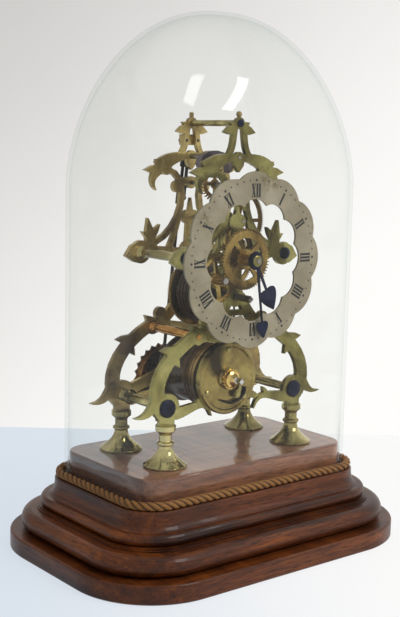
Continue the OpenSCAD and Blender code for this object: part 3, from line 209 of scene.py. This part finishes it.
def mahogany(name, tones, gloss):
    """French-polished mahogany whose grain follows each side of the mouldings.

    tones run from the darkest figure to the lightest; gloss is the weight of the polish."""
    look = Look(name)
    facing = look.add("SeparateXYZ", {"Vector": look.add("NewGeometry").outputs["True Normal"]}).outputs
    lean = look.math("SUBTRACT", look.math("ABSOLUTE", facing["X"]), look.math("ABSOLUTE", facing["Y"]))
    end = look.spread(lean, -0.25, 0.25)

    def grain(turn):
        turned = look.mapped(look.place, Rotation=(0, 0, turn))
        vector = look.mapped(turned, Scale=GRAIN_STRETCH)
        broad = look.math("MULTIPLY", look.noise(3.0, 3, 0.5, vector, 0.6), 0.55)
        fine = look.math("MULTIPLY", look.noise(20, 8, 0.65, vector, 0.5), 0.45)
        colour = look.ramp(look.math("ADD", broad, fine), list(zip(GRAIN_STOPS, tones)))
        return colour, look.noise(150, 3, 0.55, vector, 0.2)

    (side_colour, side_pores), (end_colour, end_pores) = grain(0), grain(math.pi / 2)
    pores = look.mix(end, side_pores, end_pores)
    cloud = look.noise(14, 3, 0.5)
    colour = look.mix(end, side_colour, end_colour)
    colour = look.mix(look.spread(pores, 0.52, 0.64, 0, 0.7), colour, rgb(30, 14, 8))
    colour = look.mix(look.spread(cloud, 0.45, 0.7, 0, 0.6), colour, tones[0])
    look.surface(
        Base_Color=colour, Roughness=look.spread(cloud, 0.3, 0.7, 0.3, 0.45), Specular_IOR_Level=0.2,
        Normal=look.bump(pores, 0.08, 0.4 * MM), Coat_Weight=gloss, Coat_Roughness=0.06, IOR=1.5,
    )
    return look.material


# Metal

BAND_PITCH = 3.1 * MM
# X and Z of the barrel's axis, in millimetres
BARREL_AXIS = Vector((-8, 130.5))


def lathe_rings(look, axis, colour, height, bright):
    """Cuts fine rings around an axis along Y, and paints the dark reflection that a flat turned disc shows as
    a bow.

    axis is its (x, z); the colour and the bump's height come back with the rings in them."""
    moved = look.mapped(look.place, Location=(-axis[0], 0, -axis[1]), Scale=(1, 0, 1))
    reach = look.add("VectorMath", {0: moved}, operation="LENGTH").outputs["Value"]
    rings = look.noise(900, 2, 0.5, look.add("CombineXYZ", {"X": reach}).outputs["Vector"])
    height = look.math("ADD", height, look.math("MULTIPLY", rings, 0.5))
    colour = look.mix(look.spread(rings, 0.4, 0.7, 0, 0.25), colour, bright)
    # Painted reflection: a dark bow at a set angle around the axis, fixed in the disc's colour
    part = look.add("SeparateXYZ", {"Vector": moved}).outputs
    angle = look.math("ARCTAN2", part["Z"], part["X"])
    reflection_bow_angle = look.spread(reach, 10 * MM, 24 * MM, 2.55, 2.15)
    off_reflection_bow = look.math("ABSOLUTE", look.math("SUBTRACT", angle, reflection_bow_angle))
    painted_reflection_bow = look.math("MULTIPLY", look.spread(off_reflection_bow, 0.60, 0.22), look.spread(reach, 6 * MM, 10 * MM))
    colour = look.mix(look.math("MULTIPLY", painted_reflection_bow, 0.94), colour, rgb(40, 32, 18))
    around = look.add("VectorMath", {0: moved, 1: (0, 1, 0)}, operation="CROSS_PRODUCT")
    look.surface(Anisotropic=0.85, Tangent=around.outputs["Vector"])
    return colour, height


def brass(name, bright, mid, dark, rough=(0.2, 0.36), tarnish=0.5, turned=None, fade=None, metal=0.85,
          bands=None):
    """Aged brass, polished by hand: tarnish, finger spots, fine scratches and softly rounded edges.

    turned is the (x, z) of an axis along Y around which lathe rings are cut and a dark reflection is painted;
    fade is a pair of heights between which painted shade darkens the metal towards the bottom; metal is lower
    under old lacquer; bands is a pair of places along Y between which turned bands end and the brown of the
    wound part begins."""
    look = Look(name)
    clouds = look.noise(26, 5, 0.6, distort=0.5)
    spots = look.noise(170, 3, 0.6)
    scratches = look.noise(60, 3, 0.7, look.mapped(look.place, Scale=(14, 14, 1.2)))
    colour = look.ramp(clouds, [(0.36, dark), (0.5, mid), (0.64, bright)])
    colour = look.mix(look.spread(spots, 0.58, 0.75, 0, tarnish), colour, dark)
    height = look.math("ADD", look.math("MULTIPLY", scratches, 0.6), look.math("MULTIPLY", spots, 0.5))
    if turned:
        colour, height = lathe_rings(look, turned, colour, height, bright)
    if fade:
        # Painted shade: the metal darkens towards the bottom, below the first of the fade heights
        colour = look.mix(look.spread(look.along("Z"), fade[0], fade[1], 0.85, 0), colour, dark)
    if bands:
        depth = look.along("Y")
        lines = look.math("SINE", look.math("MULTIPLY", depth, 2 * math.pi / BAND_PITCH))
        colour = look.mix(look.spread(lines, 0.35, 0.9, 0, 0.75), colour, dark)
        colour = look.mix(look.spread(depth, bands[0], bands[1], 0, 0.92), colour, dark)
    uneven = look.bump(look.noise(42, 1, 0.4), 0.5, 5 * MM, look.soft_edges(0.35 * MM))
    look.surface(
        Base_Color=colour, Metallic=metal, Roughness=look.spread(clouds, 0.3, 0.7, rough[1], rough[0]),
        Normal=look.bump(height, 0.10, 0.2 * MM, uneven),
    )
    return look.material


def steel(name, bright, dark, rough=(0.2, 0.4)):
    """Ground or heat-coloured steel with fine drawn lines and darker clouds."""
    look = Look(name)
    clouds = look.noise(60, 4, 0.6)
    lines = look.noise(110, 2, 0.6, look.mapped(look.place, Scale=(10, 1, 10)))
    colour = look.mix(look.spread(clouds, 0.35, 0.65), dark, bright)
    look.surface(
        Base_Color=colour, Metallic=1.0, Roughness=look.spread(clouds, 0.3, 0.7, rough[0], rough[1]),
        Normal=look.bump(lines, 0.08, 0.2 * MM, look.soft_edges(0.2 * MM)),
    )
    return look.material


ARBOR_SQUARE_Y = -42.4 * MM


def arbor_end():
    """Barrel arbor: a gilt cone behind, and a bright square in front of it."""
    look = Look("arbor_end")
    square = look.math("LESS_THAN", look.along("Y"), ARBOR_SQUARE_Y)
    clouds = look.noise(120, 3, 0.6)
    share = look.spread(clouds, 0.35, 0.65)
    gilt = look.mix(share, rgb(196, 160, 84), rgb(240, 212, 138))
    white = look.mix(share, rgb(176, 172, 166), rgb(226, 224, 222))
    look.surface(
        Base_Color=look.mix(square, gilt, white), Metallic=1.0,
        Roughness=look.spread(clouds, 0.3, 0.7, 0.12, 0.26),
        Normal=look.bump(clouds, 0.1, 0.2 * MM, look.soft_edges(0.25 * MM)),
    )
    return look.material


# Dial, glass and lines

# Brown stains of the dial as (x, z, size), in millimetres
STAIN_Y = -48.6
STAINS = ((13, 275, 9), (19, 273, 5), (8, 277, 7), (-46, 250, 10))


def silvered():
    """Matt silvered dial, warm grey, with a fine frosting and a few brown stains."""
    look = Look("silvered_dial")
    frost = look.noise(900, 2, 0.6)
    clouds = look.noise(38, 4, 0.6)
    colour = look.ramp(clouds, [
        (0.35, rgb(147, 136, 110)), (0.55, rgb(165, 154, 129)), (0.7, rgb(180, 169, 146)),
    ])
    speck = look.noise(210, 2, 0.6)
    colour = look.mix(look.spread(speck, 0.66, 0.76, 0, 0.5), colour, rgb(120, 104, 72))
    for x, z, size in STAINS:
        middle = (x * MM, STAIN_Y * MM, z * MM)
        near = look.add("VectorMath", {0: look.place, 1: middle}, operation="DISTANCE").outputs["Value"]
        broken = look.spread(look.noise(330, 3), 0.35, 0.6)
        stain = look.math("MULTIPLY", look.spread(near, size * MM, 0, 0, 0.75), broken)
        colour = look.mix(stain, colour, rgb(112, 92, 46))
    look.surface(
        Base_Color=colour, Metallic=0.25, Roughness=look.spread(clouds, 0.3, 0.7, 0.5, 0.62),
        Normal=look.bump(frost, 0.06, 0.1 * MM, look.soft_edges(0.2 * MM)),
    )
    return look.material


def numeral_wax():
    """Black wax of the engraved numerals, slightly broken at its edges."""
    look = Look("numeral_wax")
    chips = look.noise(700, 3, 0.6)
    look.surface(
        Base_Color=look.mix(look.spread(chips, 0.6, 0.75, 0, 0.5), rgb(22, 20, 22), rgb(84, 78, 68)),
        Roughness=look.spread(chips, 0.3, 0.7, 0.45, 0.7), Normal=look.bump(chips, 0.2, 0.1 * MM),
    )
    return look.material


def clear_glass():
    """Thin blown glass: clear face on, a little grey and more mirror-like where it curves away."""
    look = Look("dome_glass")
    waves = look.noise(9, 2, 0.4)
    normal = look.bump(waves, 0.04, 2 * MM)
    edge = look.add("LayerWeight", {"Blend": 0.5, "Normal": normal}).outputs["Facing"]
    tint = look.mix(look.math("POWER", edge, 3.0), (0.987, 0.991, 0.986, 1), (0.88, 0.90, 0.89, 1))
    clear = look.add("BsdfTransparent", {"Color": tint}).outputs["BSDF"]
    shine = look.spread(look.math("POWER", edge, 5.0), 0, 1, 0.015, 0.8)
    look.surface(
        Base_Color=look.mix(waves, (0.96, 0.98, 0.98, 1), (0.92, 0.95, 0.95, 1)), Metallic=1.0,
        Roughness=look.spread(waves, 0.3, 0.7, 0.01, 0.05), Normal=normal,
    )
    look.show(look.blend(shine, clear, look.shader.outputs["BSDF"]))
    return look.material


def silk_rope():
    """Golden-brown twisted silk with fibres that run along each strand, and painted shade in the hollows
    between the strands.
    """
    look = Look("silk_rope")
    fibres = look.noise(6, 4, 0.6, look.mapped(look.uv("strand"), Scale=(14, 2.5, 1)))
    dirt = look.noise(45, 3, 0.6)
    crown = look.add("SeparateXYZ", {"Vector": look.uv("crown")}).outputs["X"]
    colour = look.ramp(fibres, [(0.3, rgb(98, 58, 20)), (0.5, rgb(148, 98, 42)), (0.72, rgb(200, 152, 80))])
    colour = look.mix(look.spread(dirt, 0.5, 0.75, 0, 0.4), colour, rgb(84, 46, 16))
    # Painted shade: each strand darkens where it turns in towards the rope's middle, in the hollows between
    # strands
    colour = look.mix(look.spread(crown, 0.68, 0.96, 1, 0), colour, rgb(34, 17, 6))
    look.surface(
        Base_Color=colour, Roughness=look.spread(fibres, 0.3, 0.7, 0.5, 0.75),
        Normal=look.bump(fibres, 0.5, 0.5 * MM), Sheen_Weight=0.06, Sheen_Roughness=0.4,
    )
    return look.material


def twisted_gut():
    """Twisted gut line, tan and a little waxy."""
    look = Look("gut_twist")
    slant = look.mapped(look.uv("strand"), Rotation=(0, 0, 0.5), Scale=(8, 60, 1))
    twist = look.add("TexWave", {"Vector": slant, "Scale": 1.0, "Distortion": 1.5}).outputs["Fac"]
    look.surface(
        Base_Color=look.mix(twist, rgb(50, 31, 15), rgb(104, 72, 38)),
        Roughness=look.spread(twist, 0, 1, 0.5, 0.38), Normal=look.bump(twist, 0.4, 0.2 * MM),
    )
    return look.material


# Finish of each carried-over node

brass_front = brass("brass_front", rgb(170, 162, 100), rgb(140, 131, 75), rgb(87, 77, 40))
brass_back = brass("brass_back", rgb(214, 191, 122), rgb(176, 153, 92), rgb(102, 81, 45), metal=0.6)
brass_turned = brass("brass_turned", rgb(204, 190, 134), rgb(158, 145, 92), rgb(94, 82, 44),
                     rough=(0.08, 0.18), tarnish=0.3)
brass_wheel = brass("brass_wheel", rgb(182, 154, 86), rgb(144, 117, 60), rgb(82, 62, 29))
# Painted shade darkens the barrel towards the bottom
brass_barrel = brass("brass_barrel", rgb(238, 198, 112), rgb(206, 166, 90), rgb(58, 42, 25),
                     rough=(0.2, 0.32), fade=(126 * MM, 146 * MM), metal=0.3, bands=(-10 * MM, -6 * MM))
# Painted shade: brass darkened to the shade that the fusee cone stands in behind the dial
brass_painted_shade = brass("brass_painted_shade", rgb(66, 47, 26), rgb(43, 31, 17), rgb(24, 17, 10), rough=(0.3, 0.5))
brass_bob = brass("brass_bob", rgb(158, 114, 62), rgb(112, 78, 40), rgb(58, 38, 20))
brass_amber = brass("brass_amber", rgb(214, 160, 80), rgb(166, 116, 52), rgb(88, 56, 24),
                    rough=(0.1, 0.22), tarnish=0.4)
brass_gilt = brass("brass_gilt", rgb(236, 206, 128), rgb(206, 174, 98), rgb(140, 112, 56),
                   rough=(0.12, 0.24), tarnish=0.3)
# The bridge is turned: lathe rings and a painted dark reflection across it
brass_bridge = brass("brass_bridge", rgb(172, 153, 90), rgb(140, 121, 68), rgb(90, 73, 36),
                     rough=(0.1, 0.22), tarnish=0.4, turned=BARREL_AXIS * MM)
steel_bright = steel("steel_bright", rgb(178, 174, 170), rgb(112, 106, 100))
steel_grey = steel("steel_grey", rgb(128, 118, 122), rgb(84, 76, 80), (0.25, 0.4))
steel_black = steel("steel_black", rgb(62, 56, 52), rgb(28, 24, 22), (0.3, 0.45))
steel_blued = steel("steel_blued", rgb(40, 44, 68), rgb(18, 18, 30), (0.25, 0.42))
wood = mahogany("mahogany", [rgb(40, 18, 9), rgb(72, 35, 16), rgb(102, 52, 22), rgb(148, 80, 30)], gloss=0.16)
wood_top = mahogany("mahogany_top", [rgb(68, 37, 25), rgb(114, 67, 45), rgb(158, 102, 71), rgb(192, 134, 98)],
                    gloss=0.8)

NODE_LOOKS = {
    wood: ["base_plinth", "base_moulding"],
    wood_top: ["base_platform"],
    brass_front: ["front_plate", "dial_feet", "hand_collet"],
    brass_back: ["back_plate", "suspension_cock", "finials"],
    brass_turned: ["foot_front_left", "foot_front_right", "foot_back_left", "foot_back_right",
                   "lower_pillars", "middle_pillars", "top_pillar", "rating_nut", "bridge_screws",
                   "setup_click"],
    brass_gilt: ["setup_ratchet"],
    brass_wheel: ["great_wheel", "centre_wheel", "third_wheel", "escape_wheel", "hour_wheel", "hour_pipe",
                  "minute_wheel", "cannon_pinion"],
    brass_barrel: ["barrel_cap", "barrel_drum"],
    brass_painted_shade: ["fusee_cone"],
    brass_bob: ["pendulum_bob"],
    brass_amber: ["waist_pillars"],
    brass_bridge: ["barrel_bridge"],
    arbor_end(): ["barrel_arbor"],
    steel_bright: ["fusee_arbor", "fusee_ratchet", "great_click", "centre_arbor", "third_arbor",
                   "escape_arbor", "pallet_arbor", "suspension_spring", "mainspring", "minute_wheel_stud"],
    steel_grey: ["pallets"],
    steel_black: ["crutch", "pendulum_rod", "click_spring"],
    steel_blued: ["lug_screws", "pillar_screws", "cock_screws", "minute_hand", "hour_hand"],
    silvered(): ["dial_ring"],
}
for material, names in NODE_LOOKS.items():
    for name in names:
        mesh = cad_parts[name].data
        mesh.materials.clear()
        mesh.materials.append(material)


# Geometry helpers

TUBE_SIDES = 10
UV_LENGTH = 10 * MM
# Nearly upright, so that no tube runs exactly along it
TUBE_TOP = Vector((0, 0.02, 1))


def add_mesh(name, verts, faces, material, body, smooth=True):
    mesh = bpy.data.meshes.new(name)
    mesh.from_pydata([tuple(v) for v in verts], [], faces)
    mesh.materials.append(material)
    mesh.polygons.foreach_set("use_smooth", [smooth] * len(mesh.polygons))
    mesh.update()
    piece = put_in_scene(name, mesh)
    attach(piece, body)
    return piece


def sweep(path, radius, closed, start=0):
    """Tube rings along a path of points, with quads and UVs (around, along in units of UV_LENGTH)."""
    count, sides = len(path), TUBE_SIDES
    verts, faces, uvs = [], [], []
    length = 0.0
    for i, point in enumerate(path):
        before = path[i - 1] if closed or i else point
        after = path[(i + 1) % count] if closed or i + 1 < count else point
        along = (after - before).normalized()
        out = along.cross(TUBE_TOP).normalized()
        over = along.cross(out)
        length += (point - path[i - 1]).length if i else 0
        for k in range(sides):
            a = 2 * math.pi * k / sides
            verts.append(point + radius * (out * math.cos(a) + over * math.sin(a)))
            uvs.append((k / sides, length / UV_LENGTH))
    for i in range(count if closed else count - 1):
        j = (i + 1) % count
        for k in range(sides):
            m = (k + 1) % sides
            corners = (i * sides + k, j * sides + k, j * sides + m, i * sides + m)
            faces.append(tuple(start + n for n in corners))
    return verts, faces, uvs


def put_uvs(piece, name, uvs):
    layer = piece.data.uv_layers.new(name=name)
    for loop in piece.data.loops:
        layer.data[loop.index].uv = uvs[loop.vertex_index]


# Twisted rope around the foot of the dome

ROPE_R = 3.1 * MM
ROPE_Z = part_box("dome_cord")[0][2] + ROPE_R
ROPE_CORNER = 24.9 * MM
ROPE_STEP = 0.55 * MM
ROPE_LAY = 18 * MM
STRANDS = 3
STRAND_OFFSET = 1.42 * MM
STRAND_R = 1.66 * MM


def rope_ring():
    """Middle line of the rope: a rounded rectangle, as points ROPE_STEP apart."""
    low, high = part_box("dome_cord")
    half = ((high[0] - low[0]) / 2 - ROPE_R, (high[1] - low[1]) / 2 - ROPE_R)
    points = []
    for quarter, (sx, sy) in enumerate(QUARTERS):
        middle = Vector((sx * (half[0] - ROPE_CORNER), sy * (half[1] - ROPE_CORNER), ROPE_Z))
        for degrees in range(0, 91, 5):
            a = math.radians(90 * quarter + degrees)
            points.append(middle + ROPE_CORNER * Vector((math.cos(a), math.sin(a), 0)))
    even, carry = [], 0.0
    for a, b in zip(points, points[1:] + points[:1]):
        step = (b - a).length
        while carry < step:
            even.append(a.lerp(b, carry / step))
            carry += ROPE_STEP
        carry -= step
    return even


def make_rope():
    ring = rope_ring()
    turns = round(len(ring) * ROPE_STEP / ROPE_LAY)
    verts, faces, uvs, crowns = [], [], [], []
    for strand in range(STRANDS):
        path = []
        for i, point in enumerate(ring):
            along = (ring[(i + 1) % len(ring)] - ring[i - 1]).normalized()
            out = along.cross(UP)
            a = 2 * math.pi * (strand / STRANDS - turns * i / len(ring))
            path.append(point + STRAND_OFFSET * (out * math.cos(a) + UP * math.sin(a)))
        v, f, u = sweep(path, STRAND_R, True, len(verts))
        # How far each point stands out from the rope's middle, for the painted shade between the strands
        crowns += [((spot - ring[i // TUBE_SIDES]).length / ROPE_R, 0) for i, spot in enumerate(v)]
        verts += v
        faces += f
        uvs += u
    rope = add_mesh("silk_rope", verts, faces, silk_rope(), "frame")
    put_uvs(rope, "strand", uvs)
    put_uvs(rope, "crown", crowns)
    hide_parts("dome_cord")


make_rope()


# Gut line: the route of the CAD winding, drawn finer, in millimetres

GUT_R = 0.8
GUT_GAP = 0.3
TURN_STEPS = 48
RUN_STEPS = 30
# Straight pieces in one turn of the CAD line, whose corners stand out from the round
CAD_TURN_STEPS = 24
BARREL_R = 23.6
BARREL_TURNS = 1.25
BARREL_PITCH = 2.4
FUSEE_AXIS = Vector((0, 190))
CONE_Y = -13.8
CONE_LENGTH = 26.1
CONE_GROOVES = 12
# Place of the first turn on the cone, in grooves from its small end
FIRST_TURN = 1.5
CONE_SMALL_R = 12
CONE_SWELL = 9.5


def make_gut_line():
    """A turn and a quarter on the barrel, a straight run up, and ten turns in the grooves of the fusee."""
    stand = GUT_GAP + GUT_R
    facet = math.cos(math.pi / CAD_TURN_STEPS)
    pitch = CONE_LENGTH / CONE_GROOVES
    depth = CONE_Y + FIRST_TURN * pitch
    wrap = (BARREL_R + stand) / facet

    def cone_r(y):
        share = min(1, (y - CONE_Y) / CONE_LENGTH + 1 / CONE_GROOVES)
        return (CONE_SMALL_R + CONE_SWELL * share ** 1.5 + stand) / facet

    def spot(axis, reach, angle, y):
        return Vector((axis.x + reach * math.cos(angle), y, axis.y + reach * math.sin(angle)))

    run = FUSEE_AXIS - BARREL_AXIS
    leave = math.atan2(run.y, run.x) - math.acos((wrap - cone_r(depth)) / run.length)
    turn = 2 * math.pi / TURN_STEPS
    path = []
    for i in range(round(BARREL_TURNS * TURN_STEPS), -1, -1):
        path.append(spot(BARREL_AXIS, wrap, leave - turn * i, depth - BARREL_PITCH * i / TURN_STEPS))
    last, top = path[-1], spot(FUSEE_AXIS, cone_r(depth), leave, depth)
    path += [last.lerp(top, i / RUN_STEPS) for i in range(1, RUN_STEPS)]
    for i in range((CONE_GROOVES - 2) * TURN_STEPS + 1):
        y = depth + pitch * i / TURN_STEPS
        path.append(spot(FUSEE_AXIS, cone_r(y), leave + turn * i, y))
    verts, faces, uvs = sweep([p * MM for p in path], GUT_R * MM, False)
    line = add_mesh("gut_twist", verts, faces, twisted_gut(), "frame")
    put_uvs(line, "strand", uvs)
    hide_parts("gut_line")


make_gut_line()


# Glass dome: the CAD shell drawn smooth, with a rounded foot, in millimetres

DOME_HALF = (97, 54.75)
DOME_CORNER = 17.5
DOME_CLEAR = 1.5
DOME_GLASS = 2.5
DOME_FOOT = 52.5
DOME_WALL = 221
DOME_RISE = 122
DOME_FULLNESS = 0.9
DOME_EDGE_UP, DOME_LIP_UP = 0.8, 0.05
CORNER_STEPS = 24
WALL_STEPS = 6
HEAD_STEPS = 48


def dome_ring(grow, share, open_out, z):
    """Rounded rectangle at height z; open_out goes from the wall's corners at 0 to round ends at 1."""
    w, d = ((half + grow) * share for half in DOME_HALF)
    r = (DOME_CORNER + grow) * share
    r += (d - r) * open_out
    points = []
    for quarter, (sx, sy) in enumerate(QUARTERS):
        for i in range(CORNER_STEPS + 1):
            a = math.radians(90 * quarter + 90 * i / CORNER_STEPS)
            x = sx * (w - r) + r * math.cos(a)
            y = sy * (d - r) + r * math.sin(a)
            points.append((x * MM, y * MM, z * MM))
    return points


def dome_skin(grow, rise):
    rings = [dome_ring(grow, 1, 0, DOME_FOOT + DOME_EDGE_UP)]
    rings += [dome_ring(grow, 1, 0, DOME_FOOT + DOME_WALL * i / WALL_STEPS) for i in range(1, WALL_STEPS)]
    for i in range(HEAD_STEPS):
        a = math.radians(90 * i / HEAD_STEPS)
        z = DOME_FOOT + DOME_WALL + rise * math.sin(a) ** DOME_FULLNESS
        rings.append(dome_ring(grow, math.cos(a) ** DOME_FULLNESS, math.sin(a), z))
    return rings


def make_dome():
    outer = dome_skin(DOME_CLEAR + DOME_GLASS, DOME_RISE)
    inner = dome_skin(DOME_CLEAR, DOME_RISE - DOME_GLASS)
    lip = [dome_ring(DOME_CLEAR + DOME_GLASS / 2, 1, 0, DOME_FOOT + DOME_LIP_UP)]
    loops = inner[::-1] + lip + outer
    count = len(loops[0])
    top = DOME_FOOT + DOME_WALL + DOME_RISE
    verts = [v for loop in loops for v in loop] + [(0, 0, (top - DOME_GLASS) * MM), (0, 0, top * MM)]
    faces = []
    for k in range(len(loops) - 1):
        for i in range(count):
            j = (i + 1) % count
            faces.append((k * count + i, (k + 1) * count + i, (k + 1) * count + j, k * count + j))
    tail = (len(loops) - 1) * count
    for i in range(count):
        j = (i + 1) % count
        faces.append((i, j, len(verts) - 2))
        faces.append((tail + j, tail + i, len(verts) - 1))
    dome = add_mesh("dome_shell", verts, faces, clear_glass(), "dome")
    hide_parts("glass_dome")
    bm = bmesh.new()
    bm.from_mesh(dome.data)
    bmesh.ops.recalc_face_normals(bm, faces=bm.faces)
    bm.to_mesh(dome.data)
    bm.free()


make_dome()


# Numerals and minute dots on the dial, in millimetres apart from DIAL_FACE, which is in metres

DIAL_Z = 218.5
DIAL_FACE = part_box("dial_ring")[0][1]
# Along Y from the face: the wax starts a little inside it and stands proud of it
WAX_FROM, WAX_TO = 0.03, -0.07
NUMERALS = ["XII", "I", "II", "III", "IIII", "V", "VI", "VII", "VIII", "IX", "X", "XI"]
NUMERAL_REACH = 45.2
NUMERAL_HEIGHT = 9.6
# Widths of letters and strokes, as shares of the numeral's height
LETTER_WIDTHS = {"I": 0.25, "V": 0.42, "X": 0.44}
THICK_I, THICK, THIN, SERIF = 0.165, 0.16, 0.05, 0.035
DOT_REACH = 57.3
DOT_R, HOUR_DOT_R = 0.62, 0.95


def numeral_strokes(text):
    """Strokes of a Roman numeral as [(x0, y0), (x1, y1), width], upright, 1 unit high, centred."""
    left = -sum(LETTER_WIDTHS[c] for c in text) / 2
    strokes, x = [], left
    for c in text:
        w = LETTER_WIDTHS[c]
        if c == "I":
            strokes.append(((x + w / 2, 0), (x + w / 2, 1), THICK_I))
        elif c == "V":
            strokes.append(((x + 0.1, 1), (x + w * 0.6, 0), THICK))
            strokes.append(((x + w - 0.03, 1), (x + w * 0.6, 0), THIN))
        else:
            strokes.append(((x + 0.1, 1), (x + w - 0.1, 0), THICK))
            strokes.append(((x + w - 0.06, 1), (x + 0.06, 0), THIN))
        x += w
    for y in (0.02, 0.98):
        strokes.append(((left, y), (-left, y), SERIF))
    return strokes


def make_numerals():
    verts, faces = [], []

    def patch(corners, clockwise):
        a = math.radians(clockwise)
        base, n = len(verts), len(corners)
        for proud in (WAX_FROM, WAX_TO):
            for reach, side in corners:
                x = reach * math.sin(a) + side * math.cos(a)
                z = reach * math.cos(a) - side * math.sin(a)
                verts.append((x * MM, DIAL_FACE + proud * MM, (DIAL_Z + z) * MM))
        faces.append(tuple(base + n + i for i in range(n)))
        for i in range(n):
            j = (i + 1) % n
            faces.append((base + i, base + j, base + n + j, base + n + i))

    for hour, text in enumerate(NUMERALS):
        for start, end, width in numeral_strokes(text):
            a, b = Vector(start) * NUMERAL_HEIGHT, Vector(end) * NUMERAL_HEIGHT
            side = (b - a).normalized().orthogonal() * width * NUMERAL_HEIGHT / 2
            patch([(NUMERAL_REACH + p.y, p.x) for p in (a - side, b - side, b + side, a + side)], 30 * hour)
    eighths = [math.pi / 4 * i for i in range(8)]
    for minute in range(60):
        r = DOT_R if minute % 5 else HOUR_DOT_R
        patch([(DOT_REACH + r * math.cos(t), r * math.sin(t)) for t in eighths], 6 * minute)
    add_mesh("dial_numerals", verts, faces, numeral_wax(), "frame", smooth=False)


make_numerals()


# Floor and wall, in metres

WALL_AWAY = 0.318
TABLE_NEAR = -1.1
STAGE_HALF_WIDTH = 1.4
WALL_HEIGHT = 1.6
# Painted light: a pale surface brightens from minus to plus this much along its slope
BRIGHTEN_HALF = 0.27
# Distances between which painted shade darkens the table far from the clock
FALL_FROM, FALL_TO = 0.42, 1.1


def pale(name, low, high, slope, shown, fall=None):
    """Pale surface with painted light that brightens it along slope; shown is its plain share, and the rest
    keeps light and shade.

    fall is a direction along which painted shade darkens it far from the clock."""
    look = Look(name)
    patch = look.math("MULTIPLY", look.math("SUBTRACT", look.noise(3, 3, 0.5), 0.5), 0.06)
    along = look.math("ADD", look.dot(look.place, slope), patch)
    # Painted light: brighter along the slope
    colour = look.mix(look.spread(along, -BRIGHTEN_HALF, BRIGHTEN_HALF, shape="SMOOTHSTEP"), low, high)
    if fall:
        # Painted shade: darker far from the clock along fall
        far = look.spread(look.dot(look.place, fall), FALL_FROM, FALL_TO, shape="SMOOTHSTEP")
        colour = look.mix(far, colour, rgb(212, 212, 214))
    look.surface(Base_Color=colour, Roughness=0.6)
    glow = look.add("Emission", {"Color": colour, "Strength": 1.0}).outputs["Emission"]
    share = look.math("MULTIPLY", look.looked_at(), shown)
    front = look.blend(share, look.shader.outputs["BSDF"], glow)
    behind = look.add("NewGeometry").outputs["Backfacing"]
    look.show(look.blend(behind, front, look.add("BsdfTransparent").outputs["BSDF"]))
    return look.material


def make_stage():
    away = Vector((-to_camera.x, -to_camera.y, 0)).normalized()
    right = Vector((away.y, -away.x, 0))
    back, near, wide = WALL_AWAY, TABLE_NEAR, STAGE_HALF_WIDTH

    def card(name, corners, material):
        mesh = bpy.data.meshes.new(name)
        mesh.from_pydata([tuple(away * u + right * s + UP * z) for u, s, z in corners], [], [(0, 1, 2, 3)])
        mesh.materials.append(material)
        piece = put_in_scene(name, mesh)

    floor = [(near, -wide, 0), (near, wide, 0), (back, wide, 0), (back, -wide, 0)]
    wall = [(back, -wide, 0), (back, wide, 0), (back, wide, WALL_HEIGHT), (back, -wide, WALL_HEIGHT)]
    # Painted light brightens the table towards the right and the wall towards the lower right; painted shade
    # darkens the table far to the right
    card("table", floor, pale("table_white", rgb(225, 234, 244), rgb(255, 255, 255), right * 1.8, 0.8, right))
    card("wall", wall, pale("wall_white", rgb(201, 199, 197), rgb(255, 254, 252),
                            right * 0.6 - UP * 0.6 + away * 0.72, 1.0))


make_stage()


# Light

LAMP_TARGET = Vector((0, -0.04, 0.35))
LAMP_DISTANCE = 1.6
LAMP_COLOUR = (1.0, 0.99, 0.98)


def area_light(name, azimuth, elevation, roll, size, power):
    """Soft lamp aimed at the dome's head."""
    back = towards(azimuth, elevation)
    data = bpy.data.lights.new(name, "AREA")
    data.shape = "RECTANGLE"
    data.size, data.size_y = size
    data.energy = power
    data.color = LAMP_COLOUR
    lamp = put_in_scene(name, data)
    lamp.location = LAMP_TARGET + LAMP_DISTANCE * back
    facing = (-back).to_track_quat("-Z", "Y").to_matrix()
    lamp.rotation_euler = (facing @ Matrix.Rotation(math.radians(roll), 3, "Z")).to_euler()


def make_room():
    """World that lights from above and from the right, before a pale background, white below the horizon."""
    world = bpy.data.worlds.new("room")
    bpy.context.scene.world = world
    world.use_nodes = True
    room = Nodes(world.node_tree)
    direction = room.add("TexCoord").outputs["Generated"]

    def lobe(axis, low, high, out_low, out_high):
        return room.spread(room.dot(direction, axis), low, high, out_low, out_high, "SMOOTHSTEP")

    above = lobe((0.36, -0.05, 0.93), 0.05, 0.9, 0.06, 0.8)
    from_right = lobe((0.90, -0.15, 0.40), 0.3, 1.0, 0.0, 0.9)
    light = world.node_tree.nodes["Background"]
    room.set(light, {"Color": (1.0, 0.985, 0.965, 1), "Strength": room.math("ADD", above, from_right)})
    plain = room.add("Background", {
        "Color": (0.98, 0.98, 0.985, 1), "Strength": lobe(UP, -0.04, 0.04, 0.97, 0.76),
    })
    both = room.blend(room.looked_at(), light.outputs["Background"], plain.outputs["Background"])
    world.node_tree.links.new(both, world.node_tree.nodes["World Output"].inputs["Surface"])


# The first lamp makes the left streak in the dome's head, and the second the right one
area_light("wide_window", azimuth=23, elevation=35, roll=-35, size=(0.80, 0.42), power=8.0)
area_light("narrow_strip", azimuth=43.3, elevation=23.1, roll=-27, size=(0.032, 0.41), power=0.42)
make_room()
bpy.context.scene.view_settings.view_transform = "Standard"
